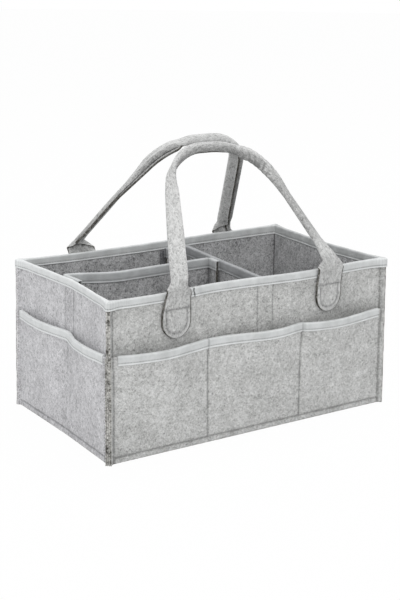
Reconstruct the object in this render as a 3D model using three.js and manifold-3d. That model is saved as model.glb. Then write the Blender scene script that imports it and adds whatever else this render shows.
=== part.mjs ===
// A felt caddy: an open box of grey felt, an outer layer of pockets, a removable T-shaped
// divider and two soft carrying handles.
// Millimetres. X runs along the box, Y across it and Z up. The origin is the middle of the
// underside, and the front is the long side at -Y.

import * as THREE from "three";
import Module from "manifold-3d";

const wasm = await Module();
wasm.setup();

// Sheet stock and clearances
const WALL_FELT = 3;
const POCKET_FELT = 1.8;
const BASE_FELT = 3;
const DIVIDER_FELT = 3;
const HANDLE_FELT = 2.6;
const TAPE = 1;
const TAPE_DEPTH = 10.5;
const STRIP = 1;
const SEAT = 0.3;

// The box, measured over the pockets at its foot
const LENGTH = 378;
const WIDTH = 222;
const HEIGHT = 180;
const LEAN_X = 2.5;
const LEAN_Y = 2.5;
const FIN_REACH = 2;
const BASE_FLANGE = 14;

// How far the soft rims are drawn in, as sine waves of one, two, three and four half turns
const FRONT_SAG = [0, 1.8, -1.5, -2.5];
const BACK_SAG = [4.4, -2.8, 0.3, 0];
// Each end has a fold line in its middle, pressed inward, where the box folds flat for packing
const END_FOLD_RIM = 7.5;
const END_FOLD_FOOT = 2;
const END_FOLD_OFFSET = 6;
const END_FOLD_ROUND = 7;

// The pockets
const POCKET_HEIGHT = 120;
const POCKET_SEAM = 63.3;
// For each pocket, how far its mouth stands out and where along its width it stands out most
const FRONT_POCKETS = [
  { puff: 9.5, peak: 0.45 },
  { puff: 9, peak: 0.62 },
  { puff: 12.5, peak: 0.38 },
];
const BACK_POCKETS = [
  { puff: 13.8, peak: 0.45 },
  { puff: 9, peak: 0.38 },
  { puff: 9.5, peak: 0.55 },
];
const END_POCKET_LOBES = [
  { puff: 6, peak: 0.5 },
  { puff: 6, peak: 0.5 },
];
// How sharply a mouth rises from its seams, and how the sides and the ends swell toward it
const MOUTH_CURVE = 1.3;
const SIDE_PUFF_RISE = 1.7;
const END_PUFF_RISE = 1.2;

// The divider: a cross panel and a long panel, each with its ends folded into flanges
const DIVIDER_DROP = 8;
const FOLD_RADIUS = 5;
const CROSS_FRONT_X = 24;
const CROSS_BACK_X = 38;
const CROSS_FLANGE = 29;
const LONG_LEFT_Y = 19;
const LONG_RIGHT_SHARE = 0.64;
const LONG_LEFT_FLANGE = 42;
const LONG_RIGHT_FLANGE = 18;

// Hook and loop strips that hold the divider's flanges
const STRIP_WIDTH = 26;
const HOOK_WIDTH = 20;
const JOINT_STRIP_WIDTH = 12;
const STRIP_FOOT = 95;
const STRIP_END = 3;
const WALL_STRIP_X = 17;
const WALL_STRIP_Y = -16;

// The handles: a felt strip folded round a filler cord, its flat ends stitched to the box
const TAB_SPAN = 206;
const TAB_WIDTH = 37;
const TAB_FELT = 3;
const TAB_ABOVE_POCKET = 5;
const TAB_SHOULDER = 14;
const NECK_WIDTH = 26;
const NECK_THICK = 6.2;
const NECK_LENGTH = 46;
const LOOP_WIDTH = 14.5;
const LOOP_THICK = 11.5;
const HINGE_ABOVE_RIM = 9;
const TAB_BELOW_HINGE = 1.2;
const CORE_INSET = 24;
const SEAM_GAP = 0.6;
const SEAM_OPENING = 6;
// Each handle as it stands: how far it is moved along the box, how far it leans over the box,
// and its arch: height, how far each leg has leaned in at that height, size of each shoulder
const HANDLES = {
  front: { shift: -1.5, lean: 34, rise: 153, setIn: [39, 55], shoulder: [47, 57] },
  back: { shift: -0.7, lean: 33, rise: 150, setIn: [33, 69], shoulder: [47, 50] },
};

// Fineness of the curved surfaces
const PANEL_STEPS = 6;
const CLOSEST_STEP = 1;
const BEND_STEPS = 4;
const TAB_STEPS = 4;
const FOOT_STEPS = 5;
const FOOT_FLAT = 0.06;
const ARCH_STEPS = 36;
const ROLL_STEPS = 10;
const CORE_STEPS = 8;

// Looks
const FELT_COLOUR = 0xb4b5b8;
const POCKET_COLOUR = 0xb9babd;
const INNER_COLOUR = 0x9b9da1;
const TAPE_COLOUR = 0xc3cad2;
const STRIP_COLOUR = 0x8e9196;
const CORD_COLOUR = 0xdedbd2;

const wallStack = WALL_FELT + SEAT + POCKET_FELT;
const stripStack = SEAT + STRIP + SEAT + STRIP + SEAT;
const tapeGrow = SEAT + TAPE;
const diagonal = Math.SQRT1_2;
const dividerTop = HEIGHT - DIVIDER_DROP;
const tabFoot = POCKET_HEIGHT + TAB_ABOVE_POCKET;

const felt = (color) => new THREE.MeshStandardMaterial({ color, roughness: 0.95, metalness: 0 });
const materials = {
  felt: felt(FELT_COLOUR),
  pocket: felt(POCKET_COLOUR),
  inner: felt(INNER_COLOUR),
  tape: new THREE.MeshStandardMaterial({ color: TAPE_COLOUR, roughness: 0.7, metalness: 0 }),
  strip: new THREE.MeshStandardMaterial({ color: STRIP_COLOUR, roughness: 0.85, metalness: 0 }),
  cord: new THREE.MeshStandardMaterial({ color: CORD_COLOUR, roughness: 0.9, metalness: 0 }),
};

const box = new THREE.Group();
box.name = "felt_caddy";

function add(name, geometry, material, group = box) {
  const mesh = new THREE.Mesh(geometry, materials[material]);
  mesh.name = name;
  group.add(mesh);
  return mesh;
}

// Joins outlines with the same number of points into one closed body. Each section has an
// outline, counter-clockwise, and a function that places a point of it in space.
function loft(sections, cap = ribbonCap) {
  const count = sections[0].outline.length;
  const positions = sections.flatMap(({ outline, place }) =>
    outline.flatMap((p) => place(p).toArray()),
  );
  const faces = [];
  for (let ring = 1; ring < sections.length; ring++) {
    for (let i = 0; i < count; i++) {
      const low = (ring - 1) * count;
      const high = ring * count;
      const next = (i + 1) % count;
      faces.push(low + i, low + next, high + next, low + i, high + next, high + i);
    }
  }
  const last = (sections.length - 1) * count;
  for (const [a, b, c] of cap(sections[0].outline)) faces.push(c, b, a);
  for (const [a, b, c] of cap(sections.at(-1).outline)) faces.push(last + a, last + b, last + c);
  const geometry = new THREE.BufferGeometry();
  geometry.setAttribute("position", new THREE.Float32BufferAttribute(positions, 3));
  geometry.setIndex(faces);
  geometry.computeVertexNormals();
  return geometry;
}

// Fills an outline that runs out along one face of a sheet and back along the other
function ribbonCap(outline) {
  const last = outline.length - 1;
  return spread(0, last, last).slice(0, outline.length / 2 - 1).flatMap((i) => [
    [i, i + 1, last - i - 1],
    [i, last - i - 1, last - i],
  ]);
}

// Fills any other outline
function floorCap(outline) {
  return THREE.ShapeUtils.triangulateShape(outline, []).map((face) => {
    const corners = face.map((i) => outline[i]);
    return THREE.ShapeUtils.area(corners) < 0 ? face.toReversed() : face;
  });
}

// An upright body whose plan outline is worked out at each height
const upright = (heights, outlineAt, cap = ribbonCap) =>
  loft(heights.map((z) => ({
    outline: outlineAt(z),
    place: (p) => new THREE.Vector3(p.x, p.y, z),
  })), cap);

function solidOf(geometry) {
  return new wasm.Manifold(new wasm.Mesh({
    numProp: 3,
    vertProperties: new Float32Array(geometry.getAttribute("position").array),
    triVerts: new Uint32Array(geometry.index.array),
  }));
}

function geometryOf(solid) {
  const { vertProperties, triVerts } = solid.getMesh();
  const geometry = new THREE.BufferGeometry();
  geometry.setAttribute("position", new THREE.Float32BufferAttribute(vertProperties, 3));
  geometry.setIndex([...triVerts]);
  return geometry;
}

const joined = (geometries) => geometries.map(solidOf).reduce((all, next) => all.add(next));
const cut = (geometries, cutters) => geometryOf(joined(geometries).subtract(joined(cutters)));

const lerp = THREE.MathUtils.lerp;
const smooth = THREE.MathUtils.smoothstep;
const spread = (from, to, steps) =>
  Array.from({ length: steps + 1 }, (_, i) => lerp(from, to, i / steps));

// Value at x of the straight-line graph through the given places
function along(places, values, x) {
  const next = Math.min(Math.max(places.findIndex((p) => p >= x), 1), places.length - 1);
  const k = places[next] >= x ? next : places.length - 1;
  return THREE.MathUtils.mapLinear(x, places[k - 1], places[k], values[k - 1], values[k]);
}

// The four sides. In a side's own plan, t runs along it, left to right seen from outside, and
// n points outward. Its inner face lies at n = depth(z) - pull(t, z) and its inner corners at
// t = -run(z) and run(z).
const innerLength = (z) => LENGTH / 2 - wallStack - (LEAN_X * z) / HEIGHT;
const innerWidth = (z) => WIDTH / 2 - wallStack - (LEAN_Y * z) / HEIGHT;

function makeSide({ turn, run, depth, seams, rimPull, footPull, rise }) {
  const panels = seams.slice(1).map((seam, i) => spread(seams[i], seam, PANEL_STEPS));
  const stations = [seams[0], ...panels.flatMap((panel) => panel.slice(1))];
  const rim = stations.map(rimPull);
  const foot = stations.map(footPull);
  const share = (t, z) => (t / run(z)) * run(0);
  const pull = (t, z) => {
    const low = along(stations, foot, share(t, z));
    return lerp(low, along(stations, rim, share(t, z)), rise(z / HEIGHT));
  };
  const plan = (t, n) => new THREE.Vector2(
    Math.cos(turn) * t + Math.sin(turn) * n,
    Math.sin(turn) * t - Math.cos(turn) * n,
  );
  // The point of the side at t that lies offset outside its inner face
  const face = (t, offset, z) => plan(t, depth(z) - pull(t, z) + offset);
  // The side's own stations between two places, with both ends
  const between = (from, to, z) => {
    const here = stations.map((s) => (s * run(z)) / run(0));
    const inside = here.filter((t) => t > from + CLOSEST_STEP && t < to - CLOSEST_STEP);
    return [from, ...inside, to];
  };
  const footBends = foot.some((value) => value !== 0);
  return { run, depth, seams, stations, footBends, pull, plan, face, between };
}

const sineSag = (waves, run) => (t) =>
  waves.reduce((sum, size, i) => sum + size * Math.sin(((i + 1) * Math.PI * (t / run + 1)) / 2), 0);

// A fold line's profile: straight to the corners, rounded at the line itself
function foldLine(depth, at, run) {
  const rounded = (d) => Math.hypot(d, END_FOLD_ROUND) - END_FOLD_ROUND;
  return (t) => {
    const reach = rounded(t < at ? at + run : run - at);
    return depth * (1 - rounded(t - at) / reach);
  };
}

function longSide(turn, sag) {
  const run = innerLength(0);
  return makeSide({
    turn,
    run: innerLength,
    depth: innerWidth,
    seams: [-run, -POCKET_SEAM, POCKET_SEAM, run],
    rimPull: sineSag(sag, run),
    footPull: () => 0,
    rise: (share) => share ** 2,
  });
}

function endSide(turn, foldAt) {
  const run = innerWidth(0);
  return makeSide({
    turn,
    run: innerWidth,
    depth: innerLength,
    seams: [-run, foldAt, run],
    rimPull: foldLine(END_FOLD_RIM, foldAt, run),
    footPull: foldLine(END_FOLD_FOOT, foldAt, run),
    rise: (share) => Math.sin((share * Math.PI) / 2),
  });
}

const sides = {
  front: longSide(0, FRONT_SAG),
  right: endSide(Math.PI / 2, -END_FOLD_OFFSET),
  back: longSide(Math.PI, BACK_SAG),
  left: endSide(-Math.PI / 2, END_FOLD_OFFSET),
};

// Sheets that lie on a side. from and to give the distance of a sheet's two faces outside the
// side's inner face. With fins, the sheet's ends turn out along the corners' diagonals, where
// the sheets of two sides are sewn face to face with their raw edges showing.
const finTip = wallStack / diagonal + FIN_REACH;

function finPoints(side, end, offset, finOffset, z, grow) {
  const own = finOffset + SEAT / 2;
  const tip = finTip + grow;
  const root = side.plan(end * (side.run(z) + offset - own / diagonal), side.depth(z) + offset);
  const point = side.plan(
    end * (side.run(z) + (tip - own) * diagonal),
    side.depth(z) + (tip + own) * diagonal,
  );
  return end < 0 ? [point, root] : [root, point];
}

function sheetOutline(side, sheet, z, grow = 0) {
  const facePoints = (offset, finOffset) => [
    ...finPoints(side, -1, offset(-side.run(z), z), finOffset, z, grow),
    ...side.stations.slice(1, -1).map((s) => {
      const t = (s * side.run(z)) / side.run(0);
      return side.face(t, offset(t, z), z);
    }),
    ...finPoints(side, 1, offset(side.run(z), z), finOffset, z, grow),
  ];
  return [
    ...facePoints((t, h) => sheet.to(t, h) + grow, sheet.finTo + grow),
    ...facePoints((t, h) => sheet.from(t, h) - grow, sheet.finFrom - grow).reverse(),
  ];
}

// A sheet without fins, between two places along its side
function patchOutline(side, sheet, from, to, z, grow = 0) {
  const places = side.between(from, to, z);
  return [
    ...places.map((t) => side.face(t, sheet.to(t, z) + grow, z)),
    ...places.map((t) => side.face(t, sheet.from(t, z) - grow, z)).reverse(),
  ];
}

// Walls, each a sheet with its fins
const wall = { from: () => 0, to: () => WALL_FELT, finFrom: 0, finTo: WALL_FELT };
const rimTapeFoot = HEIGHT - TAPE_DEPTH;
const wallHeights = [
  ...spread(0, POCKET_HEIGHT, 3),
  (POCKET_HEIGHT + rimTapeFoot) / 2,
  rimTapeFoot,
  HEIGHT,
];

for (const [name, side] of Object.entries(sides)) {
  add(`${name}_wall`, upright(wallHeights, (z) => sheetOutline(side, wall, z)), "felt");
}

// The tape's two skins and its rounded fold, as heights with how far each lies off the edge
const tapeRings = (foot, edge) => [
  [foot, tapeGrow],
  [edge + SEAT, tapeGrow],
  [edge + tapeGrow, SEAT],
];

// One tape is folded over the whole rim and runs on round the fins
function rimBinding() {
  const rings = new Map(tapeRings(rimTapeFoot, HEIGHT));
  const hollow = [rimTapeFoot - TAPE, HEIGHT + SEAT];
  const all = Object.values(sides);
  return cut(
    all.map((side) => upright([...rings.keys()], (z) => sheetOutline(side, wall, z, rings.get(z)))),
    all.map((side) => upright(hollow, (z) => sheetOutline(side, wall, z, SEAT))),
  );
}
add("rim_binding", rimBinding(), "tape");

// Pockets. Each side has one sheet that is stitched down at its foot, at the corners and at
// the seams between pockets, and its mouth stands out between the seams.
const pocketTapeFoot = POCKET_HEIGHT - TAPE_DEPTH;
const tapeRoomFoot = pocketTapeFoot - TAPE_DEPTH;

function pocketSheet(side, pockets, puffRise) {
  const tapeRoom = (z) =>
    tapeGrow * THREE.MathUtils.clamp((z - tapeRoomFoot) / (pocketTapeFoot - tapeRoomFoot - TAPE), 0, 1);
  const puff = (t, z) => {
    const whole = side.seams.at(-1);
    const place = THREE.MathUtils.clamp((t / side.run(z)) * whole, -whole, whole);
    const k = Math.max(side.seams.findIndex((s) => s >= place), 1);
    const share = (place - side.seams[k - 1]) / (side.seams[k] - side.seams[k - 1]);
    const { puff: size, peak } = pockets[k - 1];
    const skew = Math.log(0.5) / Math.log(peak);
    const wave = Math.sin(Math.PI * share ** skew);
    return size * Math.max(wave, 0) ** MOUTH_CURVE * (z / POCKET_HEIGHT) ** puffRise;
  };
  const shape = (t, z) => WALL_FELT + SEAT + tapeRoom(z) + puff(t, z);
  return {
    from: shape,
    to: (t, z) => shape(t, z) + POCKET_FELT,
    finFrom: WALL_FELT + SEAT,
    finTo: WALL_FELT + SEAT + POCKET_FELT,
  };
}

const pocketHeights = [...spread(0, tapeRoomFoot, 4), pocketTapeFoot - TAPE, POCKET_HEIGHT];
const pocketSheets = {
  front: pocketSheet(sides.front, FRONT_POCKETS, SIDE_PUFF_RISE),
  right: pocketSheet(sides.right, END_POCKET_LOBES, END_PUFF_RISE),
  back: pocketSheet(sides.back, BACK_POCKETS, SIDE_PUFF_RISE),
  left: pocketSheet(sides.left, END_POCKET_LOBES, END_PUFF_RISE),
};

function pocketBinding(side, sheet) {
  const rings = new Map(tapeRings(pocketTapeFoot, POCKET_HEIGHT));
  const hollow = [pocketTapeFoot - TAPE, POCKET_HEIGHT + SEAT];
  // The tape stops at the corner seam, just short of the fin
  const finFace = (sheet.finTo + SEAT / 2) / diagonal;
  const reach = (z) => side.run(z) + sheet.from(side.run(z), z) - finFace - SEAT / diagonal - TAPE;
  return cut(
    [upright([...rings.keys()], (z) => patchOutline(side, sheet, -reach(z), reach(z), z, rings.get(z)))],
    [upright(hollow, (z) => patchOutline(side, sheet, -reach(z) - TAPE, reach(z) + TAPE, z, SEAT))],
  );
}

for (const [name, side] of Object.entries(sides)) {
  const sheet = pocketSheets[name];
  const nodeName = side.seams.length > 3 ? `${name}_pockets` : `${name}_pocket`;
  add(nodeName, upright(pocketHeights, (z) => sheetOutline(side, sheet, z)), "pocket");
  add(`${nodeName}_binding`, pocketBinding(side, sheet), "tape");
}

// The base: a sheet with its edges turned up inside the walls and stitched through them. The
// long sides are straight at the foot, so only the ends' folds need their stations.
function floorOutline(z, inset) {
  return Object.values(sides).flatMap((side) => {
    const stations = side.footBends ? side.stations.slice(1, -1) : [];
    return [
      side.plan(-side.run(z) + inset, side.depth(z) - inset),
      ...stations.map((s) => side.face((s * side.run(z)) / side.run(0), -inset, z)),
    ];
  });
}

add("base_panel", cut(
  [upright([0, BASE_FLANGE], (z) => floorOutline(z, SEAT), floorCap)],
  [upright([BASE_FELT, BASE_FLANGE + 1], (z) => floorOutline(z, SEAT + BASE_FELT), floorCap)],
), "inner");

// Upright bands of sheet that follow a path in plan
function band(path, half, grow = 0) {
  const direction = (i, j) => path[j].clone().sub(path[i]).normalize();
  const side = path.map((p, i) => {
    const before = direction(Math.max(i - 1, 0), Math.max(i, 1));
    const after = direction(Math.min(i, path.length - 2), Math.min(i + 1, path.length - 1));
    const middle = before.clone().add(after).normalize();
    const miter = (half + grow) / middle.dot(before);
    const ends = (i === path.length - 1 ? grow : 0) - (i === 0 ? grow : 0);
    const centre = p.clone().addScaledVector(middle, ends);
    const left = new THREE.Vector2(-middle.y, middle.x).multiplyScalar(miter);
    return { right: centre.clone().sub(left), left: centre.clone().add(left) };
  });
  return [...side.map((s) => s.right), ...side.map((s) => s.left).reverse()];
}

// A path through several runs, with a rounded bend where one run ends and the next begins
function bent(...runs) {
  const clear = (p, corner) => p.distanceTo(corner) > FOLD_RADIUS + DIVIDER_FELT;
  const points = [runs[0][0]];
  runs.forEach((run, i) => {
    const corner = run.at(-1);
    points.push(...run.slice(1, -1).filter((p) => clear(p, run[0]) && clear(p, corner)));
    if (i === runs.length - 1) {
      points.push(corner);
      return;
    }
    const into = run.at(-2).clone().sub(corner).setLength(FOLD_RADIUS).add(corner);
    const out = runs[i + 1][1].clone().sub(corner).setLength(FOLD_RADIUS).add(corner);
    points.push(...new THREE.QuadraticBezierCurve(into, corner, out).getPoints(BEND_STEPS));
  });
  return points;
}

const dividerFoot = BASE_FELT + SEAT;
const flangeOffset = -(stripStack + DIVIDER_FELT / 2);

const dividerPanel = (path) => upright([dividerFoot, dividerTop], () => band(path, DIVIDER_FELT / 2));

function dividerBinding(path) {
  const rings = new Map(tapeRings(dividerTop - TAPE_DEPTH, dividerTop));
  const hollow = [dividerTop - TAPE_DEPTH - TAPE, dividerTop + SEAT];
  return cut(
    [upright([...rings.keys()], (z) => band(path, DIVIDER_FELT / 2, rings.get(z)))],
    [upright(hollow, () => band(path, DIVIDER_FELT / 2, SEAT))],
  );
}

// A flange runs along a side's rim, so that it clears the rim on its way up and out
const rimRun = (side, from, to, offset) =>
  side.between(from, to, HEIGHT).map((t) => side.face(t, offset, HEIGHT));

const { front, back, left } = sides;
const crossFront = rimRun(front, CROSS_FRONT_X - CROSS_FLANGE, CROSS_FRONT_X, flangeOffset);
const crossBack = rimRun(back, -CROSS_BACK_X, CROSS_FLANGE - CROSS_BACK_X, flangeOffset);
const crossPath = bent(crossFront, [crossFront.at(-1), crossBack[0]], crossBack);
add("cross_divider", dividerPanel(crossPath), "inner");
add("cross_divider_binding", dividerBinding(crossPath), "tape");

// The long panel's right flange lies on the cross panel's left face
const crossLine = crossBack[0].clone().sub(crossFront.at(-1));
const crossUnit = crossLine.clone().normalize();
const crossLeft = new THREE.Vector2(-crossUnit.y, crossUnit.x);
const besideCross = (reach, offset) =>
  crossFront.at(-1).clone().addScaledVector(crossUnit, reach).addScaledVector(crossLeft, offset);
const jointReach = crossLine.length() * LONG_RIGHT_SHARE;
const jointOffset = DIVIDER_FELT + stripStack;
const longLeft = rimRun(left, -LONG_LEFT_Y, LONG_LEFT_FLANGE - LONG_LEFT_Y, flangeOffset).reverse();
const longCorner = besideCross(jointReach, jointOffset);
const longEnd = besideCross(jointReach - LONG_RIGHT_FLANGE, jointOffset);
const longPath = bent(longLeft, [longLeft.at(-1), longCorner], [longCorner, longEnd]).reverse();
add("long_divider", dividerPanel(longPath), "inner");
add("long_divider_binding", dividerBinding(longPath), "tape");

// Loop strips are stitched to the walls, hook strips to the flanges that they hold
const loopStrip = { from: () => -SEAT - STRIP, to: () => -SEAT };
const stripTop = rimTapeFoot - SEAT - TAPE;
const stripHeights = [STRIP_FOOT, ...wallHeights.filter((z) => z > STRIP_FOOT && z < stripTop), stripTop];
const hookHeights = [STRIP_FOOT, dividerTop - TAPE_DEPTH - SEAT - TAPE];

function wallStrip(side, centre) {
  const ends = [centre - STRIP_WIDTH / 2, centre + STRIP_WIDTH / 2];
  return upright(stripHeights, (z) => patchOutline(side, loopStrip, ...ends, z));
}

function flangeStrip(side, from, to) {
  const path = rimRun(side, from, to, STRIP / 2 + SEAT - stripStack);
  return upright(hookHeights, () => band(path, STRIP / 2));
}

add("front_loop_strip", wallStrip(front, WALL_STRIP_X), "strip");
add("back_loop_strip", wallStrip(back, -WALL_STRIP_X), "strip");
add("left_loop_strip", wallStrip(left, -WALL_STRIP_Y), "strip");

const frontHookAt = CROSS_FRONT_X - CROSS_FLANGE + STRIP_END;
add("cross_front_hook_strip", flangeStrip(front, frontHookAt, frontHookAt + HOOK_WIDTH), "strip");
const backHookAt = CROSS_FLANGE - CROSS_BACK_X - STRIP_END;
add("cross_back_hook_strip", flangeStrip(back, backHookAt - HOOK_WIDTH, backHookAt), "strip");
const leftHookAt = LONG_LEFT_FLANGE - LONG_LEFT_Y - STRIP_END;
add("long_left_hook_strip", flangeStrip(left, leftHookAt - HOOK_WIDTH, leftHookAt), "strip");

// The joint between the two panels has a loop strip on one face and a hook strip on the other
function jointStrip(offset) {
  const from = jointReach - LONG_RIGHT_FLANGE + STRIP_END;
  const path = [besideCross(from, offset), besideCross(from + JOINT_STRIP_WIDTH, offset)];
  return upright(hookHeights, () => band(path, STRIP / 2));
}
const crossFace = DIVIDER_FELT / 2;
add("cross_loop_strip", jointStrip(crossFace + SEAT + STRIP / 2), "strip");
add("long_right_hook_strip", jointStrip(crossFace + stripStack - SEAT - STRIP / 2), "strip");

// The handles' flat ends: tabs with round feet, stitched to the wall and over the rim tape
const hingeHeight = HEIGHT + HINGE_ABOVE_RIM;
const tabTop = hingeHeight - TAB_BELOW_HINGE;
const tabOffset = (z) => {
  const overTape = smooth(z, rimTapeFoot - TAPE_DEPTH, rimTapeFoot - TAPE);
  return WALL_FELT + SEAT + overTape * tapeGrow;
};

function handleTab(side, centre) {
  const radius = TAB_WIDTH / 2;
  const footTurns = spread(FOOT_FLAT, 0.5, FOOT_STEPS);
  const footHeights = footTurns.map((share) => tabFoot + radius * (1 - Math.cos(share * Math.PI)));
  const shoulderFoot = tabTop - TAB_SHOULDER;
  const heights = [
    ...footHeights,
    rimTapeFoot - TAPE_DEPTH,
    rimTapeFoot - TAPE,
    ...spread(shoulderFoot, tabTop, 3).slice(1),
  ];
  const half = (z) => {
    const below = Math.max(tabFoot + radius - z, 0);
    const taper = smooth(z, shoulderFoot, tabTop) * (TAB_WIDTH - NECK_WIDTH);
    return Math.sqrt(radius ** 2 - below ** 2) - taper / 2;
  };
  const outline = (z) => {
    const places = spread(centre - half(z), centre + half(z), TAB_STEPS);
    const level = Math.min(z, HEIGHT);
    return [
      ...places.map((t) => side.face(t, tabOffset(z) + TAB_FELT, level)),
      ...places.map((t) => side.face(t, tabOffset(z), level)).reverse(),
    ];
  };
  return upright(heights, outline);
}

// The hinge line of a handle lies just outside its two tabs
function hingeDepth(side, tabPlaces) {
  const across = tabPlaces.flatMap((t) => spread(t - NECK_WIDTH / 2, t + NECK_WIDTH / 2, TAB_STEPS));
  const wallFaces = across.map((t) => side.depth(HEIGHT) - side.pull(t, HEIGHT));
  return Math.max(...wallFaces) + tabOffset(HEIGHT) + TAB_FELT + SEAT + NECK_THICK / 2;
}

// The handle's arch in its own plane, seen from outside the box: two straight legs that lean
// in, two round shoulders and the crown between them
function archStations({ rise, setIn, shoulder }) {
  const half = TAB_SPAN / 2;
  const feet = [new THREE.Vector2(-half, 0), new THREE.Vector2(half, 0)];
  const corners = [
    new THREE.Vector2(setIn[0] - half, rise),
    new THREE.Vector2(half - setIn[1], rise),
  ];
  const toward = (start, end, reach) => end.clone().sub(start).setLength(reach).add(start);
  const legEnds = corners.map((corner, i) => toward(corner, feet[i], shoulder[i]));
  const crownEnds = corners.map((corner, i) => toward(corner, corners[1 - i], shoulder[i]));
  const arch = new THREE.CurvePath();
  arch.add(new THREE.LineCurve(feet[0], legEnds[0]));
  arch.add(new THREE.QuadraticBezierCurve(legEnds[0], corners[0], crownEnds[0]));
  arch.add(new THREE.LineCurve(crownEnds[0], crownEnds[1]));
  arch.add(new THREE.QuadraticBezierCurve(crownEnds[1], corners[1], legEnds[1]));
  arch.add(new THREE.LineCurve(legEnds[1], feet[1]));
  const length = arch.getLength();
  // The legs lean in, but their feet are cut level
  const tangentAt = (share) => {
    if (share === 0) return new THREE.Vector2(0, 1);
    if (share === 1) return new THREE.Vector2(0, -1);
    return arch.getTangentAt(share);
  };
  return spread(0, 1, ARCH_STEPS).map((share) => ({
    point: arch.getPointAt(share),
    tangent: tangentAt(share),
    reach: length * Math.min(share, 1 - share),
  }));
}

// Sweeps a section along the arch, leaving out a stretch at each foot. A section's x lies in
// the arch's plane, toward its inside, and its y is square to it, toward the box's middle.
function archSweep(stations, inset, sectionAt) {
  return loft(stations.filter(({ reach }) => reach >= inset).map(({ point, tangent, reach }) => ({
    outline: sectionAt(reach),
    place: (p) => new THREE.Vector3(point.x + tangent.y * p.x, p.y, point.y - tangent.x * p.x),
  })));
}

const neckShare = (reach) => smooth(reach, 0, NECK_LENGTH);
const loopWidth = (reach) => lerp(NECK_WIDTH, LOOP_WIDTH, neckShare(reach));
const loopThick = (reach) => lerp(NECK_THICK, LOOP_THICK, neckShare(reach));

function oval(width, thick, angles) {
  return angles.map((a) => new THREE.Vector2((width / 2) * Math.cos(a), (thick / 2) * Math.sin(a)));
}

// The felt strip is rolled round the cord. Its two raw edges meet along the inner side and
// part again at the necks, where the strip opens out flat.
function coverSection(reach) {
  const width = loopWidth(reach);
  const thick = loopThick(reach);
  const seamSide = Math.PI / 2;
  const slit = lerp(SEAM_OPENING, SEAM_GAP, neckShare(reach)) / width;
  const angles = spread(seamSide + slit, seamSide - slit + 2 * Math.PI, ROLL_STEPS);
  const inner = oval(width - 2 * HANDLE_FELT, thick - 2 * HANDLE_FELT, angles);
  return [...oval(width, thick, angles), ...inner.reverse()];
}

function coreSection(reach) {
  const angles = spread(0, 2 * Math.PI, CORE_STEPS).slice(0, -1);
  const lining = 2 * (HANDLE_FELT + SEAT);
  return oval(LOOP_WIDTH - lining, loopThick(reach) - lining, angles);
}

function handle(name, side, turn) {
  const tabPlaces = [-TAB_SPAN / 2, TAB_SPAN / 2].map((t) => t + HANDLES[name].shift);
  const carrier = new THREE.Group();
  carrier.rotation.z = turn;
  const hinge = new THREE.Group();
  hinge.position.set(HANDLES[name].shift, -hingeDepth(side, tabPlaces), hingeHeight);
  hinge.rotation.x = -THREE.MathUtils.degToRad(HANDLES[name].lean);
  carrier.add(hinge);
  box.add(carrier);
  const stations = archStations(HANDLES[name]);
  add(`${name}_handle_cover`, archSweep(stations, 0, coverSection), "felt", hinge);
  add(`${name}_handle_core`, archSweep(stations, CORE_INSET, coreSection), "cord", hinge);
  add(`${name}_handle_left_tab`, handleTab(side, tabPlaces[0]), "felt");
  add(`${name}_handle_right_tab`, handleTab(side, tabPlaces[1]), "felt");
}

handle("front", front, 0);
handle("back", back, Math.PI);

export default box;
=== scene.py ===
# %% [markdown]
# # A felt caddy with pockets, a divider and two handles
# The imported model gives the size, the place and the moving bodies of every part. This lesson
# dresses it: each plain solid is replaced by a felt sheet, a folded tape, a rolled strap or a
# row of stitches, all worked out from the same sizes as the solids.

# %% Load the frame
import math

import bmesh
import bpy
import numpy as np
from mathutils import Matrix, Vector


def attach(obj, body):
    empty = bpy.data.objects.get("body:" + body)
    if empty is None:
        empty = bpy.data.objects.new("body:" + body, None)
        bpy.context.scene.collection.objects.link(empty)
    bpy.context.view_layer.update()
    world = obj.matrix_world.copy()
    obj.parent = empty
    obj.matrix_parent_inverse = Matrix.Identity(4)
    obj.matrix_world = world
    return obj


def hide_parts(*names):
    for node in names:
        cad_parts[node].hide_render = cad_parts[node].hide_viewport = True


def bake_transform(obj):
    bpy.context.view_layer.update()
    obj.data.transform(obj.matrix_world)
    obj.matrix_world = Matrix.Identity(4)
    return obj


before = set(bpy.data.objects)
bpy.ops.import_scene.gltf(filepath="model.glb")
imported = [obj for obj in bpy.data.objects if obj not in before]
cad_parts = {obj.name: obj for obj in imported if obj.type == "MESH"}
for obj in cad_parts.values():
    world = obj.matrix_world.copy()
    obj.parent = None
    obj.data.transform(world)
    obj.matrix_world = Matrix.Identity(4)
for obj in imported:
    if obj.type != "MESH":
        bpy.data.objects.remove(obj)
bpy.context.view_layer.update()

# %% [markdown]
# ## Camera
# The camera stands where the photographer stood: a little above the rim, to the left of the
# front. Its place and focal length were solved from the edges of the box in the picture.

# %% Camera
AZIMUTH, ELEVATION, ROLL = (math.radians(angle) for angle in (-33.276, 15.471, 0.639))
CAMERA_PLACE = (-0.77258, -1.17262, 0.51749)
FOCAL_LENGTH, SENSOR_WIDTH = 73.73, 36
flat = math.cos(ELEVATION)
back = Vector((math.sin(AZIMUTH) * flat, -math.cos(AZIMUTH) * flat, math.sin(ELEVATION)))
right = Vector((math.cos(AZIMUTH), math.sin(AZIMUTH), 0))
up = back.cross(right)
rolled_right = math.cos(ROLL) * right + math.sin(ROLL) * up
rolled_up = math.cos(ROLL) * up - math.sin(ROLL) * right
camera = bpy.data.objects.new("camera", bpy.data.cameras.new("camera"))
camera.data.lens = FOCAL_LENGTH
camera.data.sensor_width = SENSOR_WIDTH
turn = Matrix((rolled_right, rolled_up, back)).transposed().to_4x4()
camera.matrix_world = Matrix.Translation(CAMERA_PLACE) @ turn
bpy.context.scene.collection.objects.link(camera)
bpy.context.scene.camera = camera
print("camera looks from", tuple(round(v, 3) for v in CAMERA_PLACE))

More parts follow.
